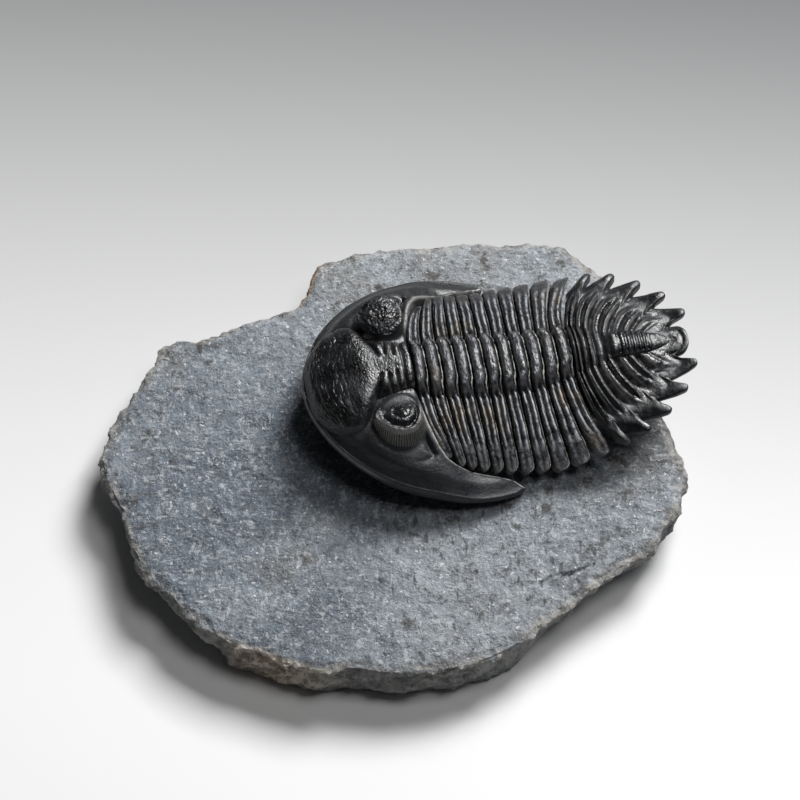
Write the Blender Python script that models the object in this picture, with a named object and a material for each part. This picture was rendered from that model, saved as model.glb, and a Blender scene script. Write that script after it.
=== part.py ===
"""A spiny-tailed trilobite, prepared free on the loose slab of grey limestone that it was found in.

The slab lies flat. The fossil stands over it on a low rough pedestal of the same stone: a head shield,
eleven thoracic segments and a tail shield, each a piece of its own with a thin dark gap to the next.
All shapes are worked out in millimetres in the body's own lines, and placed in metres at the end:
s runs back from the front edge of the head, t runs out from the middle line, and h is the height
above the slab's upper face.
"""

import math

import bmesh
import bpy
import numpy as np
from mathutils import Vector, noise

MM = 0.001

# Where the parts stand
SLAB_THICK = 10.0
GAP = 0.32
BODY_FRONT = (-16.1, -6.0)
BODY_YAW = math.radians(10.0)

# Head shield
HEAD_LENGTH = 18.2
HEAD_FRONT_HEIGHT = 8.9
HEAD_SLOPE = 0.2265
HEAD_EDGE_THICK = 0.9
HEAD_ROLL = 1.35
HEAD_OUTLINE = [(0.0, 0.0), (0.1, 1.8), (0.6, 4.2), (1.7, 7.0), (3.3, 9.9), (5.2, 12.4), (8.0, 15.2),
                (11.3, 17.6), (15.0, 19.4), (19.0, 20.6), (23.0, 21.5), (27.0, 21.6), (30.5, 21.2),
                (33.0, 20.4), (34.0, 19.6)]
HEAD_CORNER = 5
HEAD_REAR = [(18.2, 0.0), (18.2, 5.2), (18.7, 8.0), (19.4, 10.5), (20.2, 13.0), (21.0, 14.6),
             (22.3, 15.9), (24.2, 16.6), (27.0, 17.3), (30.0, 18.0), (32.4, 18.7), (34.0, 19.6)]
CHEEK_RISE = [(0.0, 0.0), (5.0, 3.2), (10.0, 5.6), (15.0, 7.0), (20.0, 7.3)]
LOBE_HALF = [(0.5, 2.4), (1.0, 4.2), (2.0, 6.4), (3.5, 8.2), (5.5, 9.4), (7.5, 9.8), (9.0, 9.4),
             (10.2, 8.0), (11.2, 6.2), (12.2, 4.2), (13.0, 2.0)]
LOBE_TOP = [(0.5, 9.6), (1.2, 11.4), (2.5, 12.8), (4.5, 13.9), (7.0, 14.8), (10.0, 15.5), (13.0, 15.5)]
BLADE_FROM = (19.5, 26.0)
BLADE_SLOPE = (0.12, 0.1)
MARGIN_WIDTH = 2.8
BORDER_FURROW = (1.6, 0.7, 0.25)
REAR_FURROW = (1.9, 0.6, 0.9)
REAR_FURROW_ENDS = (5.4, 7.5, 13.5, 17.0)
RIDGE_TOP = 15.2
RIDGE_HALF = 5.4
RIDGE_START = 13.3
RIDGE_SLOTS = [(14.1, 1.6), (15.5, 1.2)]
SLOT_DEPTH = 0.8
NECK_FURROW = 16.7
EYE_CENTRE = (15.3, 9.4)
EYE_STRETCH = (1.08, 0.78)
EYE_MOUND = (12.6, 3.2)
EYE_INNER_RISE = 2.0
EYE_RINGS = [(4.5, 9.0), (4.35, 11.0), (4.05, 13.0), (3.65, 15.0), (3.15, 15.7), (2.2, 15.15), (1.3, 15.75)]
EYE_CROWN = 15.9
EYE_SIDES = 20

# Thorax, one value for each segment from the head back
RING_FIRST = 19.5
RING_PITCH = 2.44
TIP_BACK = [2.7, 1.95, 1.2, 0.8, 0.5, 0.4, 0.5, 0.8, 1.3, 2.2, 3.9]
TIP_OUT = [14.8, 16.4, 16.9, 17.2, 17.4, 17.6, 18.0, 18.1, 18.3, 18.0, 17.4]
TIP_HEIGHT = [7.1, 6.7, 6.2, 5.3, 4.6, 4.1, 3.75, 3.6, 3.4, 4.0, 5.05]
AXIS_HALF = [(1, 4.9), (4, 5.7), (7, 5.5), (9, 5.3), (11, 4.75)]
FURROW_HEIGHT = [(1, 12.3), (4, 10.8), (7, 9.8), (9, 9.5), (11, 10.2)]
RING_RISE = 2.6
TIP_THICK = 0.95
TIP_ROUND = 1.4
WIDEST_HALF = 1.9
SEGMENT_PROFILE = [-1.0, -0.55, -0.1, 0.45, 1.0]
UNDER_SHARE = 0.8
INNER_ROWS = [0.0, 2.4, 4.2]
OUTER_ROWS = [8.0, 11.0, 13.5]
TIP_ROWS = [1.9, 0.7, 0.08]
BAND_RISE = 0.6
FURROW_PINCH = 0.35
STONE_FILL = (8.5, 12.5)
BENEATH = [(3.5, 6.9), (10.0, 5.4), (18.2, 3.5), (24.0, 3.0), (30.0, 2.7), (36.0, 2.2), (41.0, 2.2),
           (47.0, 3.6)]

# Tail shield: the front edge follows the last segment, then five spines a side and a blunt middle one
TAIL_FRONT = 45.3
TAIL_AXIS_END = 62.2
TAIL_AXIS = [(45.3, 4.6), (47.0, 4.2), (49.0, 3.5), (51.3, 2.6), (55.0, 2.2), (59.0, 1.6), (61.5, 0.9)]
TAIL_NOTCHES = [(47.7, 14.2), (51.2, 14.5), (54.9, 13.0), (58.2, 10.3), (61.1, 7.1), (62.8, 2.9)]
TAIL_TIPS = [(52.1, 16.6), (56.0, 15.2), (59.95, 12.5), (63.5, 9.1), (65.9, 4.75)]
TAIL_MIDDLE_TIP = 65.35
SPINE_OUTER = [(0.3, 0.35), (0.65, 0.55), (0.93, 0.28)]
SPINE_INNER = [(0.06, 0.02), (0.35, 0.02), (0.7, -0.12)]
TAIL_FURROW_AT = 0.3
TAIL_RINGS = [(45.7, 0.0), (47.6, 1.0), (49.9, 2.0), (52.6, 3.0), (62.0, 9.7)]
TAIL_RIBS = 5.5
TAIL_LEAD = 1.45
TAIL_EDGE = (5.05, 0.195, 47.8)
TAIL_THICK = 1.1
TAIL_FURROW_HEIGHT = [(45.3, 10.3), (48.5, 10.0), (51.5, 9.8), (55.0, 9.6), (59.0, 9.1), (62.2, 8.7)]
TAIL_AXIS_RISE = [(45.3, 2.3), (47.0, 1.8), (49.0, 1.1), (50.5, 0.6), (51.2, 0.5), (51.9, 1.5), (53.0, 1.7),
                  (58.0, 1.4), (61.0, 0.9), (62.2, 0.0)]
AXIS_STARTS = (52.2, 50.6)
TAIL_ROWS = [0.0, 0.12, 0.22, 0.3, 0.36, 0.46, 0.58, 0.7, 0.82, 0.92, 1.0]

# Slab, seen from above with x to the right and y away; its upper edge, front left corner first
SLAB_CENTRE = (0.0, -13.0)
SLAB_OUTLINE = [(-28.1, -46.4), (-33.6, -42.8), (-37.3, -38.3), (-41.2, -35.4), (-43.9, -29.5),
                (-46.2, -22.6), (-49.2, -16.4), (-50.2, -12.6), (-48.2, -6.8), (-44.2, 1.3), (-40.7, 8.2),
                (-38.1, 10.4), (-34.7, 10.2), (-29.4, 12.6), (-23.7, 15.2), (-18.4, 16.8), (-16.0, 19.6),
                (-14.2, 25.6), (-6.1, 27.9), (7.0, 29.3), (17.0, 29.7), (26.1, 29.7), (30.4, 27.3),
                (34.6, 23.2), (38.6, 15.5), (41.6, 6.0), (43.4, -2.0), (45.2, -7.4), (46.3, -11.8),
                (47.6, -16.0), (45.7, -22.8),
                (41.4, -29.5), (35.9, -33.2), (29.7, -37.8), (23.5, -43.0), (16.0, -48.7), (7.4, -51.4),
                (-0.3, -52.3), (-7.7, -51.2), (-14.8, -51.6), (-20.6, -49.6)]
SLAB_RINGS = [0.96, 0.84, 0.68, 0.5, 0.3]
TOP_SINK = 0.45
RIM_SINK = 0.6
BULGE_SINK = 2.6
RIM_DEPTH = 5.2
RIM_BULGE = 1.008
FRONT_DROP = 2.0
FRONT_FROM = (-40.0, -47.0)
FRONT_INSET = 0.99
FOOT_INSET = 0.86
FOOT_WALL = 1.6
FOOT_SHRINK = 0.985
LUMP_SIZE = 9.0
BED_DEPTH = 0.25
PEDESTAL_RINGS = [(1.12, 0.0), (1.1, 0.2), (1.0, 0.5), (0.93, 1.0), (0.7, 1.0), (0.45, 1.0), (0.2, 1.0)]
PEDESTAL_ROOT = -4.0
PEDESTAL_FOOT = 0.3
PEDESTAL_UNEVEN = 0.05
PEDESTAL_HALF = [(4.0, 2.5), (5.5, 5.8), (9.0, 8.4), (14.0, 10.4), (20.0, 11.0), (28.0, 10.6), (36.0, 9.6),
                 (42.0, 7.8), (45.4, 3.0)]

FOSSIL_BLACK = (0.012, 0.013, 0.015, 1.0)
STONE_GREY = (0.17, 0.185, 0.2, 1.0)


def curve(points, x):
    """A smooth line through a few (x, y) points, level past both ends."""
    px, py = (np.array(column, float) for column in zip(*points))
    slope = np.gradient(py, px)
    x = np.clip(np.asarray(x, float), px[0], px[-1])
    i = np.clip(np.searchsorted(px, x, side="right") - 1, 0, len(px) - 2)
    step = px[i + 1] - px[i]
    k = (x - px[i]) / step
    ends = py[i] * (1 + 2 * k) * (1 - k) ** 2 + py[i + 1] * k * k * (3 - 2 * k)
    return ends + step * k * (1 - k) * (slope[i] * (1 - k) - slope[i + 1] * k)


def along(points, share):
    """The point at a share of the way along a smooth line through points."""
    p = np.array(points, float)
    way = np.r_[0.0, np.cumsum(np.linalg.norm(np.diff(p, axis=0), axis=1))]
    at = np.asarray(share, float) * way[-1]
    return np.stack([curve(list(zip(way, column)), at) for column in p.T], axis=-1)


def smooth(low, high, x):
    k = np.clip((np.asarray(x, float) - low) / (high - low), 0, 1)
    return k * k * (3 - 2 * k)


def bump(x, centre, width):
    return np.exp(-(((x - centre) / width) ** 2))


def roll(d, radius):
    """Quarter-round edge: 0 at the edge, 1 from a radius in."""
    return np.sqrt(1 - (1 - np.clip(d / radius, 0, 1)) ** 2)


def upper(a, b, blend):
    """The higher of two heights, with a rounded valley where they meet."""
    return 0.5 * (a + b + np.sqrt((a - b) ** 2 + blend**2))


def rough(x, y, size, seed):
    """Stone roughness from -1 to 1, in lumps of about this size."""
    return noise.noise(Vector((x / size, y / size, seed)))


def place(s, t, h):
    """Body lines in millimetres to the model's metres."""
    c, n = math.cos(BODY_YAW), math.sin(BODY_YAW)
    return Vector((BODY_FRONT[0] + s * c + t * n, BODY_FRONT[1] + s * n - t * c, SLAB_THICK + h)) * MM


# Head shield

def head_edge(s):
    """Height of the head's margin."""
    return HEAD_FRONT_HEIGHT - HEAD_SLOPE * s


def head_half(s):
    return curve([(math.sqrt(a), b) for a, b in HEAD_OUTLINE], np.sqrt(np.clip(s, 0, None)))


def head_plan(u, v):
    """Half of the head as a patch: u from the middle out, v from the front back."""
    front = HEAD_OUTLINE[: HEAD_CORNER + 1]
    side = HEAD_OUTLINE[HEAD_CORNER:]
    corners = [np.array(front[0]), np.array(front[-1]), np.array(HEAD_REAR[0]), np.array(HEAD_REAR[-1])]
    across = (1 - v) * along(front, u) + v * along(HEAD_REAR, u)
    back = (1 - u) * np.array([v * HEAD_LENGTH, 0.0]) + u * along(side, v)
    flat = (1 - v) * ((1 - u) * corners[0] + u * corners[1]) + v * ((1 - u) * corners[2] + u * corners[3])
    return across + back - flat


def head_height(s, t):
    """Upper surface of the head: cheeks, glabella, eyes, borders and furrows."""
    t = np.abs(t)
    half = np.maximum(head_half(s), 0.01)
    slant = 1 / np.hypot(1, (head_half(s + 0.1) - head_half(np.maximum(s - 0.1, 0))) / 0.2)
    side = (half - t) * slant
    rear_points = [(b, a) for a, b in HEAD_REAR]
    rear_slant = 1 / np.hypot(1, (curve(rear_points, t + 0.05) - curve(rear_points, t - 0.05)) / 0.1)
    behind = (curve(rear_points, t) - s) * rear_slant
    blade = smooth(*BLADE_FROM, s)

    cheek = curve(CHEEK_RISE, s) * (1 - smooth(19.5, 27, s))
    h = head_edge(s) + cheek * np.clip(1 - (t / half) ** 2, 0, 1) ** 0.8
    margin = 0.4 * roll(side, 0.3) + 0.6 * smooth(0.2, MARGIN_WIDTH, side)
    border = np.minimum(margin, 1 - blade + blade * roll(behind, 0.35))
    place_in, width, depth = BORDER_FURROW
    h = h + HEAD_ROLL * border - depth * (1 - blade) * bump(side, place_in, width)
    slope, sink = BLADE_SLOPE
    h = h + blade * (slope * np.clip(side, 0, 4) - sink) * border
    place_in, width, depth = REAR_FURROW
    inner_from, inner_to, outer_from, outer_to = REAR_FURROW_ENDS
    reach = smooth(inner_from, inner_to, t) * (1 - smooth(outer_from, outer_to, t))
    h = h - depth * bump(behind, place_in, width) * reach

    lobe_end = smooth(13.6, 12.9, s)
    lobe_half = np.maximum(curve(LOBE_HALF, s) * lobe_end, 0.01)
    swell = np.sqrt(np.clip(1 - (t / lobe_half) ** 2.4, 0, 1)) * smooth(0.2, 0.7, s) * lobe_end
    lobe = h + (curve(LOBE_TOP, s) - h) * swell
    ridge_half = RIDGE_HALF - 0.2 * np.clip(s - 12, 0, 5)
    ridge_start = RIDGE_START - 0.3 * t - 0.9 * smooth(2.2, 0.8, t)
    ridge = np.sqrt(np.clip(1 - (t / ridge_half) ** 3, 0, 1)) * roll(s - ridge_start, 0.9)
    slots = (0.35 + 0.5 * smooth(1, 4, t)) * bump(s, NECK_FURROW, 0.3)
    for slot, inner_end in RIDGE_SLOTS:
        slots = slots + SLOT_DEPTH * bump(s, slot, 0.28) * smooth(inner_end, inner_end + 1, t)
    h = np.maximum(lobe, h + (RIDGE_TOP - h) * ridge - slots * ridge)

    ahead, after = EYE_STRETCH
    ds = s - EYE_CENTRE[0]
    r = np.hypot(np.where(ds < 0, ds / ahead, ds / after), t - EYE_CENTRE[1])
    inner = EYE_INNER_RISE * smooth(1.2, -2.4, t - EYE_CENTRE[1])
    mound = EYE_MOUND[0] + inner - EYE_MOUND[1] * smooth(3.0, 6.0, r)
    h = h + (upper(h, mound, 0.6) - h) * smooth(7.6, 5.4, r) * smooth(4.6, 5.6, t)
    return h - 0.5 * (1 - roll(behind, 0.6)) * (1 - blade)


# Thorax

def ring_at(number, t):
    """Middle line of a segment: how far back it lies at t."""
    out = np.clip((np.abs(t) - 5.5) / (TIP_OUT[number - 1] - 5.5), 0, 1.2)
    return RING_FIRST + RING_PITCH * (number - 1) + TIP_BACK[number - 1] * out**1.7


def segment_half(number, t, across):
    """Length of a segment along the body at t, from its middle to the gap ahead of it or behind it;
    its tip is blunt."""
    lengths = []
    for other in (number - 1, number + 1):
        if 1 <= other <= len(TIP_OUT):
            room = np.abs(ring_at(other, t) - ring_at(number, t)) / 2
        else:
            room = RING_PITCH / 2
        lengths.append(np.minimum(room, WIDEST_HALF) - GAP / 2)
    past = np.clip((np.abs(t) - TIP_OUT[number - 1] + TIP_ROUND) / TIP_ROUND, 0, 1)
    return (lengths[0] if across < 0 else lengths[1]) * (1 - past**3) ** 0.45


def segment_height(number, t, across):
    """Upper surface of a segment: across runs from -1 at its front edge to 1 at its rear edge."""
    t = np.abs(t)
    axis = curve(AXIS_HALF, number)
    furrow = curve(FURROW_HEIGHT, number)
    tip = TIP_HEIGHT[number - 1]
    out = np.clip((t - axis) / (TIP_OUT[number - 1] - axis), 0, 1)
    side = tip + (furrow - tip) * (1 - 0.14 * out - 0.86 * out**2.1)
    ring = furrow + RING_RISE * np.sqrt(np.clip(1 - (t / (axis - 0.1)) ** 2.6, 0, 1))
    on_ring = smooth(axis + 0.1, axis - 0.5, t)
    ring_shape = 0.85 * smooth(0.1, -1.0, across) + 0.3 * smooth(0.3, 1.0, across)
    bands = BAND_RISE * bump(across, -0.1, 0.28) * (1 - smooth(0.55, 0.85, out))
    side_shape = 0.55 * smooth(-0.5, -1.0, across) + 0.4 * smooth(0.5, 1.0, across) + bands
    pinch = FURROW_PINCH * bump(t, axis, 0.6)
    return (ring - ring_shape) * on_ring + (side - side_shape) * (1 - on_ring) - pinch


def segment_under(number, t):
    """Underside of a segment: stone-filled in the middle, a thin blade at the tips."""
    s = ring_at(number, t)
    out = smooth(*STONE_FILL, np.abs(t))
    return (curve(BENEATH, s) + GAP) * (1 - out) + (TIP_HEIGHT[number - 1] - TIP_THICK) * out


# Tail shield

def tail_edge(s):
    """Height of the tail's margin at its underside."""
    height, slope, start = TAIL_EDGE
    return height - TAIL_THICK / 2 + slope * (s - start)


def tail_outline(steps):
    """The margin from the front corner round to the middle line, each spine a curved blade."""
    points = [np.array(TAIL_NOTCHES[0])]
    for tip, start, end in zip(TAIL_TIPS, TAIL_NOTCHES[:-1], TAIL_NOTCHES[1:]):
        tip, start, end = np.array(tip), np.array(start), np.array(end)
        blade = [start]
        for one, other, stops in ((start, tip, SPINE_OUTER), (tip, end, SPINE_INNER)):
            way = other - one
            outward = np.array([-way[1], way[0]]) / np.linalg.norm(way)
            blade += [one + share * way + bulge * outward for share, bulge in stops]
        points += list(along(blade + [end], np.arange(1, steps + 1) / steps))
    start = np.array(TAIL_NOTCHES[-1])
    middle = [start, (TAIL_MIDDLE_TIP - 1.1, 2.55), (TAIL_MIDDLE_TIP - 0.25, 1.4), (TAIL_MIDDLE_TIP, 0.0)]
    points += list(along(middle, np.arange(1, steps // 2 + 1) / (steps // 2)))
    return np.array(points)


def tail_plan(share, rim, u):
    """A point of the tail: share runs round from the front edge to the middle line behind,
    u from the middle line (0) over the axial furrow to the rim (1)."""
    lead = share**TAIL_LEAD
    middle = np.array([TAIL_FRONT + (TAIL_AXIS_END - TAIL_FRONT) * lead, 0.0])
    furrow_s = TAIL_FRONT + (TAIL_AXIS_END - TAIL_FRONT) * lead
    furrow = np.array([furrow_s, curve(TAIL_AXIS, furrow_s) * math.sqrt(max(0.0, 1 - share**6))])
    if u <= TAIL_FURROW_AT:
        return middle + (furrow - middle) * (u / TAIL_FURROW_AT)
    k = (u - TAIL_FURROW_AT) / (1 - TAIL_FURROW_AT)
    knee = furrow + np.array([0.12, 0.88]) * 0.5 * np.linalg.norm(rim - furrow) * (1 - share**3)
    knee = knee + (rim - furrow) * 0.5 * share**3
    return furrow * (1 - k) ** 2 + 2 * knee * k * (1 - k) + rim * k * k


def tail_height(s, t, share, u):
    """Upper surface of the tail: ringed axis, five double ribs and flat spines."""
    edge = tail_edge(s) + TAIL_THICK
    furrow = curve(TAIL_FURROW_HEIGHT, s)
    if u <= TAIL_FURROW_AT:
        k = u / TAIL_FURROW_AT
        ahead = smooth(*AXIS_STARTS, s)
        dome = (1 - ahead) * math.sqrt(max(0.0, 1 - k**2.6)) + ahead * (1 - k * k)
        rise = curve(TAIL_AXIS_RISE, s) * dome
        rings = 0.25 * math.cos(2 * math.pi * curve(TAIL_RINGS, s)) * (1 - smooth(60, 62, s))
        return furrow + rise + rings * (1 - k)
    k = (u - TAIL_FURROW_AT) / (1 - TAIL_FURROW_AT)
    side = edge + (furrow - edge) * (1 - 0.2 * k - 0.8 * k**1.7)
    fade = (1 - smooth(0.55, 0.85, k)) * (1 - smooth(0.8, 0.92, share)) * smooth(0, 0.12, k)
    turn = 2 * math.pi * share * TAIL_RIBS
    ribs = 0.15 * math.cos(2 * turn) - 0.45 * math.cos(turn)
    return side + ribs * fade - 0.3 * (1 - roll(1 - k, 0.08))


# Meshes

def finish(bm, name, material):
    """Closes a mesh into a named object of one material."""
    bmesh.ops.remove_doubles(bm, verts=bm.verts, dist=0.00001)
    bmesh.ops.recalc_face_normals(bm, faces=bm.faces)
    bmesh.ops.triangulate(bm, faces=bm.faces)
    mesh = bpy.data.meshes.new(name)
    bm.to_mesh(mesh)
    bm.free()
    mesh.materials.append(material)
    mesh.shade_smooth()
    mesh.set_sharp_from_angle(angle=math.radians(50))
    piece = bpy.data.objects.new(name, mesh)
    bpy.context.collection.objects.link(piece)
    return piece


def mirrored(bm, points, columns, rows):
    """Both halves of a patch: points gives (s, t, h) for each column and row of the near half."""
    for side in (1, -1):
        grid = [[bm.verts.new(place(s, side * t, h)) for s, t, h in line] for line in points]
        for i in range(columns):
            for j in range(rows):
                bm.faces.new((grid[i][j], grid[i + 1][j], grid[i + 1][j + 1], grid[i][j + 1]))
    bmesh.ops.remove_doubles(bm, verts=bm.verts, dist=0.00001)


def drop_rim(bm, lower):
    """Extrudes the open rim straight down to a height that depends on its place, and closes it."""
    rim = [edge for edge in bm.edges if edge.is_boundary]
    made = bmesh.ops.extrude_edge_only(bm, edges=rim)["geom"]
    for vertex in (v for v in made if isinstance(v, bmesh.types.BMVert)):
        vertex.co.z = lower(vertex.co)
    bmesh.ops.holes_fill(bm, edges=[edge for edge in bm.edges if edge.is_boundary])


def back_along(point):
    """How far back a placed point lies, in millimetres."""
    c, n = math.cos(BODY_YAW), math.sin(BODY_YAW)
    return (point.x / MM - BODY_FRONT[0]) * c + (point.y / MM - BODY_FRONT[1]) * n


def make_head(columns=18, rows=20):
    bm = bmesh.new()
    points = []
    for i in range(columns + 1):
        line = []
        for j in range(rows + 1):
            s, t = head_plan(i / columns, j / rows)
            line.append((s, max(t, 0.0), float(head_height(s, t))))
        points.append(line)
    mirrored(bm, points, columns, rows)
    drop_rim(bm, lambda p: (SLAB_THICK + head_edge(back_along(p)) - HEAD_EDGE_THICK) * MM)
    head = finish(bm, "cephalon", fossil)
    for name, side in (("eye_near", 1), ("eye_far", -1)):
        union = head.modifiers.new(name, "BOOLEAN")
        union.operation = "UNION"
        union.object = make_eye(name, side)
    return head


def make_eye(name, side):
    """A compound eye: a steep faceted wall under a flat lid with a raised rim and a boss."""
    bm = bmesh.new()
    loops = []
    for radius, height in EYE_RINGS:
        loop = []
        for k in range(EYE_SIDES):
            turn = 2 * math.pi * k / EYE_SIDES
            stretch = EYE_STRETCH[0] if math.cos(turn) < 0 else EYE_STRETCH[1]
            s = EYE_CENTRE[0] + radius * stretch * math.cos(turn)
            loop.append(bm.verts.new(place(s, side * (EYE_CENTRE[1] + radius * math.sin(turn)), height)))
        loops.append(loop)
    for one, other in zip(loops, loops[1:]):
        for k in range(EYE_SIDES):
            m = (k + 1) % EYE_SIDES
            bm.faces.new((one[k], one[m], other[m], other[k]))
    bm.faces.new(loops[0])
    crown = bm.verts.new(place(EYE_CENTRE[0], side * EYE_CENTRE[1], EYE_CROWN))
    for k in range(EYE_SIDES):
        bm.faces.new((loops[-1][k], loops[-1][(k + 1) % EYE_SIDES], crown))
    eye = finish(bm, name, fossil)
    eye.hide_render = True
    eye.display_type = "WIRE"
    return eye


def make_segment(number):
    axis = float(curve(AXIS_HALF, number))
    reach = TIP_OUT[number - 1]
    stations = INNER_ROWS + [axis - 0.15, axis + 0.35] + OUTER_ROWS
    stations = [t for t in stations if t < reach - TIP_ROWS[0] - 0.3] + [reach - t for t in TIP_ROWS]
    stations = [-t for t in stations[:0:-1]] + stations
    bm = bmesh.new()
    loops = []
    for t in stations:
        middle, under = ring_at(number, t), segment_under(number, t)
        loop = [(middle + segment_half(number, t, across) * across, segment_height(number, t, across))
                for across in SEGMENT_PROFILE]
        loop += [(middle + segment_half(number, t, across) * across, under)
                 for across in (UNDER_SHARE, -UNDER_SHARE)]
        loops.append([bm.verts.new(place(s, t, float(h))) for s, h in loop])
    for one, other in zip(loops, loops[1:]):
        for k in range(len(one)):
            m = (k + 1) % len(one)
            bm.faces.new((one[k], one[m], other[m], other[k]))
    bm.faces.new(loops[0])
    bm.faces.new(loops[-1])
    return finish(bm, f"thorax_segment_{number:02d}", fossil)


def make_tail(steps=6):
    outline = tail_outline(steps)
    last = len(outline) - 1
    points = []
    for i, rim in enumerate(outline):
        line = []
        for u in TAIL_ROWS:
            s, t = tail_plan(i / last, rim, u)
            t = 0.0 if i == last else t
            line.append((s, t, float(tail_height(s, t, i / last, u))))
        points.append(line)
    bm = bmesh.new()
    mirrored(bm, points, last, len(TAIL_ROWS) - 1)
    drop_rim(bm, lambda p: (SLAB_THICK + tail_edge(back_along(p))) * MM)
    return finish(bm, "pygidium", fossil)


# Stone

def slab_ring(scale, level, wobble, seed):
    """One closed ring of the slab, scaled about its centre."""
    ring = []
    for x, y in SLAB_OUTLINE:
        x = SLAB_CENTRE[0] + (x - SLAB_CENTRE[0]) * scale
        y = SLAB_CENTRE[1] + (y - SLAB_CENTRE[1]) * scale
        height = level(x, y) if callable(level) else level
        ring.append(Vector((x, y, height + wobble * rough(x, y, LUMP_SIZE, seed))) * MM)
    return ring


def make_slab():
    """The slab: a nearly flat upper face, a thin broken rim, and an undercut below it down to a flat foot.
    At the front the broken edge runs down to the foot."""

    def frontness(y):
        return float(smooth(*FRONT_FROM, y))

    bm = bmesh.new()
    rings = [slab_ring(f, SLAB_THICK - TOP_SINK, 0.3, 1.0) for f in reversed(SLAB_RINGS)]
    rings.append(slab_ring(1.0, SLAB_THICK - RIM_SINK, 0.35, 1.0))
    rings.append(slab_ring(RIM_BULGE, SLAB_THICK - BULGE_SINK, 0.5, 3.0))
    rings.append(slab_ring(1.0, lambda x, y: SLAB_THICK - RIM_DEPTH - FRONT_DROP * frontness(y), 0.5, 5.0))
    foot = []
    for point in slab_ring(1.0, 0.0, 0.0, 7.0):
        y = point.y / MM
        inset = FOOT_INSET + (FRONT_INSET - FOOT_INSET) * frontness(y)
        foot.append(Vector((point.x * inset, (SLAB_CENTRE[1] + (y - SLAB_CENTRE[1]) * inset) * MM, 0.0)))
    rings.append([p + Vector((0, 0, FOOT_WALL * MM)) for p in foot])
    centre = Vector((*SLAB_CENTRE, 0.0)) * MM
    rings.append([centre + (p - centre) * FOOT_SHRINK for p in foot])
    loops = [[bm.verts.new(p) for p in ring] for ring in rings]
    centre = bm.verts.new(centre + Vector((0, 0, SLAB_THICK - TOP_SINK)) * MM)
    count = len(SLAB_OUTLINE)
    for k in range(count):
        m = (k + 1) % count
        bm.faces.new((centre, loops[0][k], loops[0][m]))
        for one, other in zip(loops, loops[1:]):
            bm.faces.new((one[k], other[k], other[m], one[m]))
    bm.faces.new(loops[-1])
    slab = finish(bm, "matrix_slab", stone)
    union = slab.modifiers.new("pedestal", "BOOLEAN")
    union.operation = "UNION"
    union.object = make_pedestal()
    return slab


def make_pedestal(count=36):
    """Rough low pedestal under head and thorax, up to just below them."""
    start, end = PEDESTAL_HALF[0][0], PEDESTAL_HALF[-1][0]
    middle, reach = (start + end) / 2, (end - start) / 2
    bm = bmesh.new()
    loops = []
    for spread, rise in PEDESTAL_RINGS:
        loop = []
        for k in range(count):
            turn = 2 * math.pi * k / count
            uneven = 1 + PEDESTAL_UNEVEN * rough(8 * math.cos(turn), 8 * math.sin(turn), 3.0, spread)
            s = middle - reach * spread * uneven * math.cos(turn)
            half = float(curve(PEDESTAL_HALF, middle - reach * math.cos(turn)))
            t = half * spread * uneven * math.copysign(min(1.0, 1.6 * abs(math.sin(turn))), math.sin(turn))
            t = 0.0 if k in (0, count // 2) else t
            top = float(curve(BENEATH, s)) - BED_DEPTH
            level = max(PEDESTAL_FOOT, rise * top) if rise else PEDESTAL_ROOT
            loop.append(bm.verts.new(place(s, t, level)))
        loops.append(loop)
    for one, other in zip(loops, loops[1:]):
        for k in range(count):
            m = (k + 1) % count
            bm.faces.new((one[k], one[m], other[m], other[k]))
    bm.faces.new(loops[0])
    top = bm.verts.new(place(middle, 0.0, float(curve(BENEATH, middle)) - BED_DEPTH))
    for k in range(count):
        bm.faces.new((loops[-1][k], loops[-1][(k + 1) % count], top))
    pedestal = finish(bm, "pedestal", stone)
    pedestal.hide_render = True
    pedestal.display_type = "WIRE"
    return pedestal


def make_material(name, colour, roughness):
    material = bpy.data.materials.new(name)
    material.use_nodes = True
    shader = material.node_tree.nodes["Principled BSDF"]
    shader.inputs["Base Color"].default_value = colour
    shader.inputs["Roughness"].default_value = roughness
    shader.inputs["Metallic"].default_value = 0.0
    return material


def centre_on_foot(pieces):
    """Moves every mesh so that the origin is under the middle of the whole object's box."""
    corners = np.array([v.co[:] for piece in pieces for v in piece.data.vertices])
    middle = (corners.min(axis=0) + corners.max(axis=0)) / 2
    shift = Vector((-middle[0], -middle[1], -corners[:, 2].min()))
    for piece in bpy.data.objects:
        for vertex in piece.data.vertices:
            vertex.co += shift
    print("moved by", [round(k / MM, 4) for k in shift], "mm")


for thing in list(bpy.data.objects):
    bpy.data.objects.remove(thing, do_unlink=True)

fossil = make_material("black_fossil", FOSSIL_BLACK, 0.42)
stone = make_material("grey_limestone", STONE_GREY, 0.9)
parts = [make_slab(), make_head()]
parts += [make_segment(number) for number in range(1, len(TIP_OUT) + 1)]
parts.append(make_tail())
centre_on_foot(parts)
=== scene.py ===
"""The finished look of a spiny-tailed trilobite on its loose slab of grey limestone.

Sizes are in millimetres in the body's own lines until a piece is set in place: s runs back from the
front edge of the head, t runs out from the middle line, h is the height above the slab's upper face.
A piece is modelled with x along s, y along -t and z up, then turned to the body's heading.
"""

import math

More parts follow.
